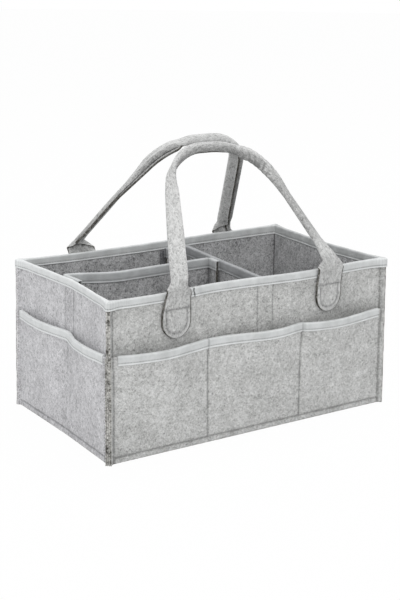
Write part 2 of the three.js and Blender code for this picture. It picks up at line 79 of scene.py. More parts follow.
# %% [markdown]
# ## Sizes
# The sizes are those of the solids, in millimetres, because a sewing pattern is read that way.
# Points are turned into metres when a mesh is made of them.

# %% Sizes of the box
MM = 0.001
SEED = 11
LENGTH, WIDTH, HEIGHT = 378, 222, 180
LEAN = 2.5
WALL_FELT, POCKET_FELT, BASE_FELT, DIVIDER_FELT, HANDLE_FELT = 3, 1.8, 3, 3, 2.6
TAPE, TAPE_DEPTH = 1, 10.5
STRIP = 1
SEAT = 0.3
BASE_FLANGE = 14
POCKET_HEIGHT = 120
POCKET_SEAM = 63.3
WALL_STACK = WALL_FELT + SEAT + POCKET_FELT
STRIP_STACK = 3 * SEAT + 2 * STRIP
DIAGONAL = math.sqrt(0.5)
RIM_TAPE_FOOT = HEIGHT - TAPE_DEPTH
POCKET_TAPE_FOOT = POCKET_HEIGHT - TAPE_DEPTH
print("sheets on each other at a wall:", WALL_STACK, "mm")


# %% Small number helpers
def lerp(low, high, share):
    return low + (high - low) * share


def smooth(x, low, high):
    share = np.clip((x - low) / (high - low), 0, 1)
    return share * share * (3 - 2 * share)


def hump(x, middle, width):
    return np.exp(-((x - middle) / width) ** 2)


def bezier(start, control, end, share):
    return (1 - share) ** 2 * start + 2 * share * (1 - share) * control + share * share * end


def along(table, reach):
    """Reads a table of (reach, value) pairs at one reach."""
    return float(np.interp(reach, *zip(*table)))


def sums(steps):
    return np.concatenate([[0], np.cumsum(steps)])


def evenly(path, step):
    """Places along a path, evenly spaced by its length, and the points there."""
    path = np.array(path)
    reach = sums(np.hypot(*np.diff(path, axis=0).T))
    places = np.linspace(0, reach[-1], int(reach[-1] / step) + 1)
    return places, np.column_stack([np.interp(places, reach, path[:, k]) for k in (0, 1)])


def thinned(values, gap):
    """The values without those that lie too near the one before."""
    keep = [values[0]]
    for value in values[1:]:
        if value - keep[-1] > gap:
            keep.append(value)
    return keep


def ripple(x, y, seed):
    """Soft unevenness between about -1 and 1 that is the same at each run."""
    phases = np.random.default_rng(seed).uniform(0, 2 * np.pi, 4)
    waves = ((9.7, 15.4, 0.45), (6.1, -8.4, 0.3), (17.3, -21, 0.5), (3.7, 4.9, 0.15))
    return sum(np.sin(x / a + y / b + phase) * size for (a, b, size), phase in zip(waves, phases))


def rim_low(x, y):
    """How much lower the pressed rim lies than the box's full height."""
    across, deep = x / 186, y / 108
    return 1.65 - 0.8 * across - 0.3 * deep - 0.25 * across * deep


def settled(points, low=None, top=HEIGHT, depth=12):
    """The tape's tension presses the upper edge of the felt down."""
    x, y, z = points[..., 0], points[..., 1], points[..., 2]
    drop = rim_low(x, y) if low is None else low
    points = points.copy()
    points[..., 2] = z - drop * smooth(z, top - depth, top + 1.4)
    return points


print("helpers ready")

# %% [markdown]
# ## The mesh of a sheet
# Nearly every piece here is a sheet of even thickness. A sheet could be a plane with a
# Solidify modifier, but its edges would be sharp and its faces couldn't be pressed in one by
# one at a seam. So each is made as a closed loop round its thickness, carried along a path:
# a grid of points with one row per place on the path. The grid also gives the UV map, in
# metres, for patterns that follow the cloth, and the marks, such as where a seam presses.

# %% Grid helper
def link(obj):
    bpy.context.scene.collection.objects.link(obj)
    return obj


def add_uv(mesh, points, quads, grid_count, closed):
    stations, around = points.shape[:2]
    path, ring = points[:, around // 4], points[stations // 2]
    lengths = sums(np.linalg.norm(np.diff(path, axis=0), axis=-1))
    across = sums(np.linalg.norm(np.roll(ring, -1, axis=0) - ring, axis=-1))
    u, v = lengths[quads // around], across[quads % around]
    if closed:
        wide = np.ptp(u, axis=1) > lengths[-1] / 2
        whole = lengths[-1] + np.linalg.norm(path[0] - path[-1])
        u = np.where(wide[:, None] & (quads // around == 0), whole, u)
    wraps = np.ptp(v, axis=1) > across[-1] / 2
    wraps[grid_count:] = False
    v = np.where(wraps[:, None] & (quads % around == 0), across[-1], v)
    layer = mesh.uv_layers.new(name="cloth")
    layer.data.foreach_set("uv", (np.stack([u, v], axis=-1) * MM).astype(np.float32).ravel())


def sheet_mesh(name, points, materials, closed=False, edge_rows=(), edge_ends=0, inside=(),
               **marks):
    """A closed body from a grid of points: stations along a path, and places round the sheet.
    Its edges get the second material and its inside rows the third."""
    stations, around = points.shape[:2]
    place, row = (at.ravel() for at in np.indices((stations if closed else stations - 1, around)))
    here, ahead, onward = place * around, (place + 1) % stations * around, (row + 1) % around
    quads = np.stack([here + row, here + onward, ahead + onward, ahead + row], axis=-1)
    kinds = np.where(np.isin(row, edge_rows), 1, 2 * np.isin(row, inside))
    kinds[(place < edge_ends) | (place >= stations - 1 - edge_ends)] = 1
    if not closed:
        half = np.arange(around // 2 - 1)
        start = np.stack([half, around - 1 - half, around - 2 - half, half + 1], axis=-1)
        quads = np.concatenate([quads, start, start[:, ::-1] + (stations - 1) * around])
        kinds = np.append(kinds, np.ones(2 * len(half)))
    corners = points.reshape(-1, 3)
    a, b, c, d = (corners[quads[:, k]] for k in range(4))
    if (a * (np.cross(b, c) + np.cross(c, d))).sum() < 0:
        quads = quads[:, ::-1]
    mesh = bpy.data.meshes.new(name)
    mesh.from_pydata((corners * MM).tolist(), [], quads.tolist())
    for material in materials:
        mesh.materials.append(material)
    if len(materials) > 1:
        mesh.polygons.foreach_set("material_index", kinds.astype(np.int32))
    add_uv(mesh, points, quads, len(place), closed)
    for label, values in marks.items():
        layer = mesh.attributes.new(label, "FLOAT", "POINT")
        values = np.broadcast_to(values, (stations, around)).astype(np.float32)
        layer.data.foreach_set("value", values.ravel())
    mesh.update()
    mesh.shade_smooth()
    return link(bpy.data.objects.new(name, mesh))


def sheet_levels(thick, low, high, step, close_to=(), edge=0.9):
    """Places round a sheet's upright section: up its outer face and down its inner face."""
    rows = list(np.linspace(low, high, int((high - low) / step) + 1))
    rows += [at + d for at in close_to for d in (-3, -1.8, -0.9, 0, 0.9, 1.8, 3)]
    rows = thinned(np.unique(np.round(rows, 2)), 0.6)
    corner = [(0.6, 0.0), (0.87, 0.22), (1.0, 1.0)]
    up = [(thick * s, low + edge * h) for s, h in corner]
    up += [(thick, z) for z in rows if low + 1.5 * edge < z < high - 1.5 * edge]
    up += [(thick * s, high - edge * h) for s, h in reversed(corner)]
    return np.array(up + [(thick - level, z) for level, z in reversed(up)]).T


def dress(obj, body, node):
    """Says which body the piece rides on, and hides the solid it stands for."""
    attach(obj, body)
    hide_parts(node)
    print(obj.name, len(obj.data.polygons), "faces")


print("grid helper ready")

# %% [markdown]
# ## Shader maths
# A pattern is a sum: noise plus streaks, times a contrast. Written as Python expressions it
# stays readable. The class below wraps one output of a shader tree, and arithmetic on it adds
# the Math nodes.

# %% Wires
class Wire:
    """One output of a shader tree."""

    def __init__(self, tree, socket=None):
        self.tree, self.socket = tree, socket

    def node(self, kind, sockets, output=0, **settings):
        made = self.tree.nodes.new("ShaderNode" + kind)
        for key, value in settings.items():
            setattr(made, key, value)
        for key, value in sockets.items():
            if isinstance(value, Wire):
                self.tree.links.new(value.socket, made.inputs[key])
            else:
                made.inputs[key].default_value = value
        return Wire(self.tree, made.outputs[output])

    def maths(self, operation, *values):
        return self.node("Math", dict(enumerate(values)), operation=operation)

    def __add__(self, other):
        return self.maths("ADD", self, other)

    def __mul__(self, other):
        return self.maths("MULTIPLY", self, other)

    def __sub__(self, other):
        return self.maths("SUBTRACT", self, other)

    def __rsub__(self, other):
        return self.maths("SUBTRACT", other, self)

    __radd__ = __add__
    __rmul__ = __mul__


def new_material(name, **constants):
    """A material with some of its shader's constants set, and a wire with its coordinates."""
    material = bpy.data.materials.new(name)
    material.use_nodes = True
    shader = material.node_tree.nodes["Principled BSDF"]
    for key, value in constants.items():
        shader.inputs[key.replace("_", " ")].default_value = value
    return material, shader, Wire(material.node_tree).node("TexCoord", {}, "Object")


def plug(wire, shader, socket):
    wire.tree.links.new(wire.socket, shader.inputs[socket])


def noise(coords, scale, detail=2, roughness=0.6, distortion=0.0):
    return coords.node("TexNoise", {"Vector": coords, "Scale": scale, "Detail": detail,
                                    "Roughness": roughness, "Distortion": distortion})


def shifted(coords, offset):
    return coords.node("VectorMath", {0: coords, 1: offset}, operation="ADD")


def stretched(coords, scale):
    return coords.node("Mapping", {"Vector": coords, "Scale": scale})


def attribute(wire, name):
    return wire.node("Attribute", {}, "Fac", attribute_name=name)


def cloth_map(wire):
    return wire.node("UVMap", {}, uv_map="cloth")


def mixed(factor, low, high):
    sockets = {0: factor, 6: (*low, 1), 7: (*high, 1)}
    return factor.node("Mix", sockets, 2, data_type="RGBA", clamp_factor=True)


def stepped(value, low, high):
    """0 below low, 1 above high, with a soft change between."""
    return value.node("MapRange", {0: value, 1: low, 2: high}, interpolation_type="SMOOTHSTEP")


def paint(shader, value, dark, pale, roughness, relief, strength, distance):
    """Colours a shader from dark to pale by a value, and gives it roughness and a relief."""
    plug(mixed(value, dark, pale), shader, "Base Color")
    plug(roughness, shader, "Roughness")
    bump = {"Strength": strength, "Distance": distance, "Height": relief}
    plug(value.node("Bump", bump), shader, "Normal")


print("wires ready")

# %% [markdown]
# ## Felt
# Needle-punched felt is a mat of short fibres, dark and pale ones mixed, pressed flat. Seen
# near, it is a melange: cloudy patches of 1 to 3 cm, blotches of some millimetres, and single
# fibres that curl over each other. One noise with many octaves gives the clouds and blotches,
# and thin bands of distorted noise, where its value is near the middle, give the fibres.

# %% Felt material
def fibres(coords, scale, seed):
    field = noise(shifted(coords, (seed, seed * 2.3, -seed)), scale, 1, 0.5, 0.6)
    return 1 - stepped(field.maths("ABSOLUTE", field - 0.5), 0.0, 0.035)


def felt(name, dark, pale, streak=(1, 1, 1), use_uv=False, seed=0.0, rough=1.15):
    material, shader, coords = new_material(
        name, Specular_IOR_Level=0.25, Sheen_Weight=0.15, Sheen_Roughness=0.6)
    coords = shifted(cloth_map(coords) if use_uv else coords, (seed, seed, seed))
    drawn = stretched(coords, streak)
    clouds = noise(drawn, 38, 3, 0.6, 0.2)
    blotches = noise(drawn, 230, 3, 0.68, 0.6)
    specks = noise(drawn, 560, 2, 0.6, 0.9)
    grain = noise(coords, 1300, 2, 0.7)
    curls = fibres(drawn, 260, 0.37) * 0.5 + fibres(drawn, 520, 0.91) * 0.5
    dark_curls = fibres(drawn, 380, 1.73)
    dark_specks = 1 - stepped(specks, 0.30, 0.46)
    value = (clouds * 0.55 + blotches + specks * 1.1 + grain - 1.825) * rough
    value = value + curls * 0.14 - dark_curls * 0.14 - dark_specks * 0.24 + 0.59
    # The seam attribute darkens stitched seams; on some pieces it also carries painted shade and
    # painted light.
    value = value - attribute(coords, "seam") * 0.5
    relief = blotches * 0.7 + specks * 0.5 + grain * 0.4 + curls * 0.3 + dark_curls * 0.3
    paint(shader, value, dark, pale, 0.97 - value * 0.1, relief, 0.6, 0.0006)
    return material


outer_felt = felt("outer_felt", (0.24, 0.24, 0.232), (0.73, 0.73, 0.72))
# A little darker than the outer felt, for the long walls above the pockets: painted shade.
wall_felt_painted_shade = felt("wall_felt_painted_shade", (0.22, 0.22, 0.212), (0.685, 0.685, 0.673), seed=0.2)
end_felt = felt("end_felt", (0.28, 0.276, 0.285), (0.84, 0.832, 0.848), (1, 1, 0.8), seed=0.4)
strap_felt = felt("strap_felt", (0.2, 0.2, 0.196), (0.71, 0.71, 0.7), (0.6, 1.1, 1), use_uv=True,
                  rough=1.0)
# A darker, greyer copy of the felt for the inner faces, the base and the divider panels: painted
# shade.
inner_felt = felt("inner_felt", (0.15, 0.15, 0.153), (0.66, 0.66, 0.665), seed=0.8, rough=1.6)
print("felts:", outer_felt.name, end_felt.name, strap_felt.name, inner_felt.name)

# %% [markdown]
# ## Raw edges, tape, thread, hook and loop, cord
# Where felt is cut, its edge shows the inside of the mat: darker, browner and knotted. The
# tape is a woven band folded over the edges, so it has fine ribs across it and a painted
# highlight on its folds. Thread is smooth, hook and loop strips are rough, and the filler cord is
# spun.

# %% Raw edge material
def raw_edge_felt(name, level, contrast):
    material, shader, coords = new_material(name, Specular_IOR_Level=0.2)
    knots = noise(coords, 420, 4, 0.75, 0.8)
    patches = noise(stretched(coords, (1, 1, 0.6)), 120, 3, 0.6)
    value = (knots * 1.7 + patches * 0.7 - 1.2) * contrast + level
    dark, pale = (0.05, 0.046, 0.038), (0.68, 0.67, 0.64)
    paint(shader, value, dark, pale, 0.95 - value * 0.05, knots, 0.8, 0.0009)
    return material


raw_edge = raw_edge_felt("raw_edge", 0.5, 2.4)
# The raw edge of the straps and divider panels, made much darker: cut felt with shade painted in
# beside the wall and the other panel.
strap_edge_and_shade = raw_edge_felt("strap_edge_and_shade", 0.1, 1.0)
print("raw edges:", raw_edge.name, strap_edge_and_shade.name)


# %% Tape material
def woven(cloth, direction, scale, distortion):
    sockets = {"Vector": cloth, "Scale": scale, "Distortion": distortion, "Detail": 1,
               "Detail Scale": 2}
    return cloth.node("TexWave", sockets, bands_direction=direction)


def tape_cloth(name, dark, pale):
    material, shader, coords = new_material(name, Specular_IOR_Level=0.35, Sheen_Weight=0.1)
    cloth = cloth_map(coords)
    ribs, threads = woven(cloth, "X", 260, 0.6), woven(cloth, "Y", 420, 0.8)
    fold = attribute(coords, "fold")
    wear = noise(coords, 60, 4, 0.65)
    value = ribs * 0.086 + threads * 0.074 + (wear - 0.5) * 0.55 + 0.607
    # The fold attribute gives a painted highlight where the tape turns; the seam attribute darkens
    # stitches and carries painted light and shade.
    value = value + fold * 0.18 - attribute(coords, "seam") * 0.197
    relief = ribs * 0.6 + threads * 0.5
    paint(shader, value, dark, pale, 0.78 - fold * 0.15, relief, 0.35, 0.0003)
    return material


rim_tape = tape_cloth("rim_tape", (0.10, 0.106, 0.103), (0.83, 0.845, 0.843))
# Darker copies of the rim tape for the two divider panels, the cross one darkest: painted shade.
long_tape_painted_shade = tape_cloth("long_tape_painted_shade", (0.05, 0.055, 0.055), (0.69, 0.705, 0.71))
cross_tape_painted_shade = tape_cloth("cross_tape_painted_shade", (0.01, 0.012, 0.014), (0.48, 0.49, 0.5))
print("tapes:", rim_tape.name, long_tape_painted_shade.name, cross_tape_painted_shade.name)


# %% Thread, hook and loop, cord
def plain_cloth(name, dark, pale, scale, distance):
    material, shader, coords = new_material(name, Specular_IOR_Level=0.3)
    field = noise(coords, scale, 3, 0.7, 0.3)
    value = (field - 0.5) * 2.2 + 0.5
    paint(shader, value, dark, pale, 0.9 - value * 0.1, field, 0.7, distance)
    return material


thread = plain_cloth("thread", (0.2, 0.202, 0.205), (0.42, 0.425, 0.43), 1500, 0.0001)
hook_cloth = plain_cloth("hook_cloth", (0.04, 0.04, 0.045), (0.2, 0.2, 0.21), 1100, 0.0008)
loop_cloth = plain_cloth("loop_cloth", (0.07, 0.07, 0.075), (0.28, 0.28, 0.29), 700, 0.0009)
cord_yarn = plain_cloth("cord_yarn", (0.55, 0.53, 0.48), (0.85, 0.83, 0.78), 600, 0.0005)
print("thread, strips and cord ready")

# %% [markdown]
# ## The four sides
# Each side has its own plan: t runs along it, left to right seen from outside, and n points
# outward. The rim is pulled in by soft sagging waves on the long sides, and along a fold line
# in the middle of each end, where the box folds flat for packing. Every sheet, tape and
# stitch on a side asks this one class where the surface is.

# %% Side
FOLD_ROUND = 2.6
FOLD_AT = {"left": 6, "right": -6}
RIM_FOLD, FOOT_FOLD = 7.5, 2


def inner_length(z):
    return LENGTH / 2 - WALL_STACK - LEAN * z / HEIGHT


def inner_width(z):
    return WIDTH / 2 - WALL_STACK - LEAN * z / HEIGHT


class Side:
    def __init__(self, turn, run, depth, seams, rim_pull, foot_pull, rise, squeeze, seed):
        self.turn, self.run, self.depth, self.seams = turn, run, depth, seams
        self.rim_pull, self.foot_pull, self.rise = rim_pull, foot_pull, rise
        self.squeeze, self.seed = squeeze, seed
        self.long = run is inner_length
        self.outward = self.at(0, 1, 0)

    def pinch(self, z):
        """How much the tape squeezes the wall's top edge."""
        return self.squeeze * smooth(z, 160, 176)

    def pull(self, t, z):
        """How far the surface lies inside the side's flat plan."""
        foot = self.run(0)
        share = np.clip(t / self.run(z) * foot, -foot, foot)
        rise = self.rise(np.clip(z, 0, HEIGHT) / HEIGHT)
        room = smooth(z, 14, 55) * (1 - np.clip(np.abs(t) / self.run(z), 0, 1) ** 6)
        lumps = 0.5 * ripple(t * 0.8, z * 0.8, self.seed) * room
        return lerp(self.foot_pull(share), self.rim_pull(share), rise) - lumps

    def at(self, t, n, z):
        """The point of the side's plan in the box's own frame."""
        t, n, z = np.broadcast_arrays(t, n, z)
        cos, sin = math.cos(self.turn), math.sin(self.turn)
        return np.stack([cos * t + sin * n, sin * t - cos * n, z], axis=-1).astype(float)

    def face(self, t, offset, z):
        return self.at(t, self.depth(z) - self.pull(t, z) + offset, z)

    def fin(self, end, reach, own, z):
        """A point of a corner's fin: its reach along the diagonal, and how far off it."""
        t = end * (self.run(z) + (reach - own) * DIAGONAL)
        return self.at(t, self.depth(z) + (reach + own) * DIAGONAL, z)


def fold_line(depth, at, run):
    def rounded(distance):
        return np.hypot(distance, FOLD_ROUND) - FOLD_ROUND

    def pull(t):
        reach = rounded(np.where(t < at, at + run, run - at))
        return depth * (1 - rounded(t - at) / reach)
    return pull


def long_side(turn, waves, seed):
    run = inner_length(0)

    def sag(t):
        half_turns = np.pi * (t / run + 1) / 2
        return sum(size * np.sin(i * half_turns) for i, size in enumerate(waves, 1))
    seams = [-run, -POCKET_SEAM, POCKET_SEAM, run]
    return Side(turn, inner_length, inner_width, seams, sag, lambda t: 0 * t, lambda s: s ** 2,
                1.5, seed)


def end_side(turn, name, squeeze, seed):
    run, at = inner_width(0), FOLD_AT[name]
    rim, foot = (fold_line(depth, at, run) for depth in (RIM_FOLD, FOOT_FOLD))
    return Side(turn, inner_width, inner_length, [-run, at, run], rim, foot,
                lambda s: np.sin(s * np.pi / 2), squeeze, seed)


sides = {
    "front": long_side(0, [0, 1.8, -1.5, -2.5], SEED),
    "right": end_side(math.pi / 2, "right", 1.5, SEED + 1),
    "back": long_side(math.pi, [4.4, -2.8, 0.3, 0], SEED + 2),
    "left": end_side(-math.pi / 2, "left", 2.1, SEED + 3),
}
print("rim run of the front:", round(float(inner_length(HEIGHT)), 1), "mm")

# %% [markdown]
# ## Sheets with fins
# At each corner the wall and the pocket layer of two sides are turned out along the diagonal
# and sewn face to face, so the corner is a fin of four raw edges. A sheet is described by the
# distance of its inner face from the wall's inner face, and its path runs from one fin's tip
# round the bend, along the side, and out to the other tip. Each tip is rounded and cut a
# little unevenly, as scissors leave it.

# %% Sheets
FIN_REACH = 2
FIN_TIP = WALL_STACK / DIAGONAL + FIN_REACH
CORNER_BEND = 1.9
FIN_SQUEEZE, LOW_FIN_SQUEEZE = 0.76, 0.64
SEAM_DEPTH = 0.6
BASE_SEAM = 6.7
STITCH_LIFT = 0.05
# Painted shade in each corner's bend, place by place from the side out toward the fin's tip.
BEND_SHADE = (0, 0, 0.4, 1, 0.8, 0, 0, 0, 0, 0)


def base_press(t, z):
    return hump(z, BASE_SEAM, 1.3)


class Sheet:
    def __init__(self, side, inner, thick, fin_inner, presses, seed):
        self.side, self.inner, self.thick = side, inner, thick
        self.fin_inner, self.presses, self.seed = fin_inner, presses, seed

    def pressed(self, t, z):
        """How much the seams press the felt in, from 0 to 1."""
        return np.clip(sum(press(t, z) for press in self.presses), 0, 1)

    def at(self, t, level, z):
        dent = SEAM_DEPTH * self.pressed(t, z) * level / self.thick
        dent = dent - self.side.pinch(z) * (1 - level / self.thick)
        return self.side.face(t, self.inner(t, z) + level - dent, z)

    def stitched(self, t, z):
        """Places for stitches, a hair above the outer face."""
        return self.at(t, self.thick, z) + self.side.outward * STITCH_LIFT

    def finned(self, level, z, shares):
        """The grid of points from one fin's tip to the other, how pressed each is, and painted
        shade at the bends.
        """
        side = self.side
        run, depth = side.run(z), side.depth(z)
        root = self.inner(run, z) + level
        middle = self.thick / 2
        tip = FIN_TIP + 0.22 * ripple(z * 2.1, z * 0.9, self.seed)
        sewn = lerp(LOW_FIN_SQUEEZE, FIN_SQUEEZE, smooth(z, POCKET_HEIGHT - 4, POCKET_HEIGHT + 2))

        def fin(end, reach, squeeze=1.0):
            own = self.fin_inner + middle + (level - middle) * squeeze + SEAT / 2
            return side.fin(end, reach, own * lerp(1, sewn, smooth(reach, 1, 5)), z)

        own = self.fin_inner + level + SEAT / 2
        corner = run + root - own / DIAGONAL
        start = root / DIAGONAL - own + CORNER_BEND
        ends = []
        for end in (-1, 1):
            before = side.at(end * (corner - CORNER_BEND), depth + root, z)
            bend = side.at(end * corner, depth + root, z)
            ends.append([bezier(before, bend, fin(end, start), k) for k in np.linspace(0, 1, 5)]
                        + [fin(end, lerp(start, tip - 0.7, k)) for k in (0.33, 0.66, 1)]
                        + [fin(end, tip - 0.2, 0.86), fin(end, tip, 0.45)])
        places = [q * (corner - CORNER_BEND) for q in shares]
        # Painted shade in the bends: full on the long sides, a quarter of it on the ends.
        bend_shade_share = 1 if side.long else 0.25
        bent = [np.maximum(bend_shade_share * size, base_press(0, z) * (k < 5))
                for k, size in enumerate(BEND_SHADE)]
        seam = np.stack(bent[::-1] + [self.pressed(t, z) for t in places] + bent)
        return np.stack(ends[0][::-1] + [self.at(t, level, z) for t in places] + ends[1]), seam


def shares_for(length, step, close_to=(), spread=(0.6, 1.3, 2.2, 3.5)):
    """Places along a side as shares of its run, closer together at its seams."""
    base = np.linspace(-1, 1, int(2 * length / step) + 1)
    near = [at + sign * d for at in close_to for d in (0, *spread) for sign in (-1, 1)]
    every = np.unique(np.round(np.concatenate([base, np.array(near) / length]), 5))
    return np.array([share for share in thinned(every, 0.5 / length) if -0.9999 < share < 0.9999])


print("fin tips stand", round(FIN_TIP, 1), "mm out from the corners")

# %% [markdown]
# ## Walls
# Four sheets of 3 mm felt, the same inside and out. The rows of faces inside get a darker,
# greyer felt: shade painted into the colour.

# %% Walls
LOOP_STRIPS = {"front": 14, "back": -14, "left": 4}
STRIP_HALF, STRIP_LINE = 11.5, 10
PAINTED_SHADE_HEIGHT = 26


def strip_press(centre):
    def press(t, z):
        lines = hump(t, centre - STRIP_LINE, 1.0) + hump(t, centre + STRIP_LINE, 1.0)
        return 0.6 * lines * smooth(z, 92, 96)
    return press


def fold_dent_and_shade(at):
    """The ends' fold line and the ripples beside it, which stay soft: a small dent and painted
    shade.
    """
    def press(t, z):
        folds = ((at, 2.2, 0.3), (at - 7, 4, 0.2), (at + 11, 3, 0.16))
        return smooth(z, 8, 40) * sum(size * hump(t, place, wide) for place, wide, size in folds)
    return press


def wall_sheet(name, seed):
    presses = [base_press]
    if name in FOLD_AT:
        presses.append(fold_dent_and_shade(FOLD_AT[name]))
    if name in LOOP_STRIPS:
        presses.append(strip_press(LOOP_STRIPS[name]))
    return Sheet(sides[name], lambda t, z: 0 * t, WALL_FELT, 0, presses, seed)


walls = {name: wall_sheet(name, SEED + 20 + i) for i, name in enumerate(sides)}
wall_level, wall_z = sheet_levels(WALL_FELT, 0, HEIGHT, 6, (BASE_SEAM,))
rows = len(wall_z)
for name, sheet in walls.items():
    centre = LOOP_STRIPS.get(name)
    lines = (centre - STRIP_LINE, centre + STRIP_LINE) if centre else ()
    points, seam = sheet.finned(wall_level, wall_z, shares_for(sheet.side.run(0), 4, lines))
    if sheet.side.long:
        # Painted shade on the long walls just above the pockets' mouths.
        above = smooth(wall_z, POCKET_HEIGHT - 4, POCKET_HEIGHT)
        painted_shade_above_pockets = above * (1 - smooth(wall_z, POCKET_HEIGHT, POCKET_HEIGHT + PAINTED_SHADE_HEIGHT))
        seam = seam + 0.3 * painted_shade_above_pockets * (wall_level > WALL_FELT / 2)
    felts = [wall_felt_painted_shade if sheet.side.long else end_felt, raw_edge, inner_felt]
    wall = sheet_mesh(f"{name}_wall_felt_painted_shade", settled(points), felts, edge_ends=2,
                      edge_rows=(0, rows - 1), inside=range(rows // 2, rows - 2), seam=seam)
    dress(wall, "shell", f"{name}_wall")

# %% [markdown]
# ## Pockets
# One sheet on each side, sewn down at its foot, at the corners and at the seams between the
# pockets. Between seams its mouth stands away from the wall: most near the middle, falling to
# nothing at each seam, and less toward the foot. The seam's thread presses the felt in, and
# the sheet puckers beside it.

# %% Pocket sheets
MOUTH_CURVE = 1.3
MOUTH_LOW = 1.3
TAPE_ROOM_FOOT = POCKET_TAPE_FOOT - TAPE_DEPTH
# How far each pocket's mouth stands off the wall, and the share of its width where it does most.
POCKETS = {
    "front": [(9.5, 0.45), (9, 0.62), (12.5, 0.38)],
    "right": [(6, 0.5), (6, 0.5)],
    "back": [(13.8, 0.45), (9, 0.38), (9.5, 0.55)],
    "left": [(6, 0.5), (6, 0.5)],
}


def tape_room(z):
    room = (z - TAPE_ROOM_FOOT) / (POCKET_TAPE_FOOT - TAPE_ROOM_FOOT - TAPE)
    return (SEAT + TAPE) * np.clip(room, 0, 1)


def puff_of(side, lobes):
    def puff(t, z):
        whole = side.seams[-1]
        place = np.clip(t / side.run(z) * whole, -whole, whole)
        total = 0
        for low, high, (size, peak) in zip(side.seams, side.seams[1:], lobes):
            share = np.clip((place - low) / (high - low), 0, 1)
            wave = np.sin(np.pi * share ** (math.log(0.5) / math.log(peak)))
            total = total + size * np.maximum(wave, 0) ** MOUTH_CURVE
        return total * np.clip(z / POCKET_HEIGHT, 0, 1.02) ** (1.7 if side.long else 1.2)
    return puff


def seam_press(t, z):
    return (hump(t, -POCKET_SEAM, 1.2) + hump(t, POCKET_SEAM, 1.2)) * smooth(z, 3, 8)


def pocket_sheet(name, seed):
    side = sides[name]
    puff = puff_of(side, POCKETS[name])

    def inner(t, z):
        slack = smooth(z, 20, 70) * np.clip(puff(t, z) / 4, 0, 1)
        swell = 0.35 * ripple(t, z * 0.7, seed + 50) + 0.35
        return WALL_FELT + SEAT + tape_room(z) + puff(t, z) + swell * slack
    presses = [base_press, seam_press if side.long else fold_dent_and_shade(FOLD_AT[name])]
    return Sheet(side, inner, POCKET_FELT, WALL_FELT + SEAT, presses, seed)


def pocket_node(name):
    return f"{name}_pockets" if sides[name].long else f"{name}_pocket"


pockets = {name: pocket_sheet(name, SEED + 30 + i) for i, name in enumerate(sides)}
level, z = sheet_levels(POCKET_FELT, 0, POCKET_HEIGHT, 5, (BASE_SEAM,), 0.7)
for name, sheet in pockets.items():
    seams = sheet.side.seams[1:-1] if sheet.side.long else ()
    points, seam = sheet.finned(level, z, shares_for(sheet.side.run(0), 3.4, seams))
    felts = [outer_felt if sheet.side.long else end_felt, raw_edge]
    pocket = sheet_mesh(f"{name}_pocket_felt", settled(points, MOUTH_LOW, POCKET_HEIGHT, 10), felts,
                        edge_ends=2, edge_rows=(0, 1, len(z) - 1), seam=seam)
    dress(pocket, "shell", pocket_node(name))

# %% [markdown]
# ## Tapes
# A tape is folded over an edge and sewn through near its two lower edges. Its section is a
# thin U: the skin dips where the stitches run and lifts again at its own edge, which catches
# the light, and a painted highlight is added there. The same section serves the rim, the
# pockets' mouths and the dividers: only the edge that it follows differs.

# %% Section of a tape
TAPE_GROW = SEAT + TAPE
STITCH_UP = 2.7
STITCH_OFF = 0.95


def tape_section(edge):
    """Places round the tape: which face of the sheet, how far off it, and how high. Also where
    its own edges are, and where it is sewn."""
    up = [
        (1, 0.55, 0.0), (1, 1.2, 0.05), (1, 1.65, 0.6), (1, 1.55, 1.4), (1, 1.1, 2.3),
        (1, 1.05, STITCH_UP + 0.3), (1, 1.35, 4), (1, 1.45, 5.5), (1, 1.4, 7.6), (1, 1.35, 9.4),
        (1, 1.3, TAPE_DEPTH + 0.2), (1, 1.0, TAPE_DEPTH + 0.9), (0.93, 0.7, TAPE_DEPTH + 1.25),
        (0.5, 0.4, TAPE_DEPTH + TAPE_GROW + 0.1),
    ]
    outside = up + [(-s, grow, h) for s, grow, h in reversed(up)]
    inside = [(s, SEAT, min(max(h, 0.25), TAPE_DEPTH + SEAT)) for s, grow, h in reversed(outside)]
    face, grow, height = np.array(outside + inside).T
    skin = height[:len(outside)]
    # The fold marks get a painted highlight: the lower lip fully, the top fold less.
    fold = np.where(skin < 1.7, 1.0, np.where(skin > TAPE_DEPTH + 0.1, 0.45, 0.0))
    sewn = 1.0 * ((skin > 2) & (skin < 3.5))
    fold, sewn = (np.append(marks, marks[::-1]) for marks in (fold, sewn))
    return face, grow, edge - TAPE_DEPTH + height, fold, sewn


print("places round a tape:", len(tape_section(HEIGHT)[0]))

# %% [markdown]
# The rim's tape is one band that goes round the whole box, and round the fins on its way. Its
# outer half follows the fins and its inner half turns the inside corners, so both halves are
# given as paths with the same number of places, and the section is spanned between them. On
# the front, next to the left tab, the band's end lies over its beginning.

# %% Rim tape
JOINT_AT = -87
BESIDE_JOINT = np.array([-1.1, -0.6, 0.1, 0.5])
TAPE_BEND = 13
ROUND_OFF = 3.4
INNER_TURN = 3.5
# Painted light and shade on the rim tape: paler along the left end, darker along the right.
PAINTED_TAPE_LIGHT = {"left": -0.9, "right": 0.8}


def smooth_corner(controls):
    """A rounded path that starts at the first control point and ends at the last one."""
    path = [controls[0]]
    for i in range(1, len(controls) - 1):
        start = controls[0] if i == 1 else (controls[i - 1] + controls[i]) / 2
        end = controls[-1] if i == len(controls) - 2 else (controls[i] + controls[i + 1]) / 2
        path += [bezier(start, controls[i], end, k) for k in (1 / 3, 2 / 3, 1)]
    return path


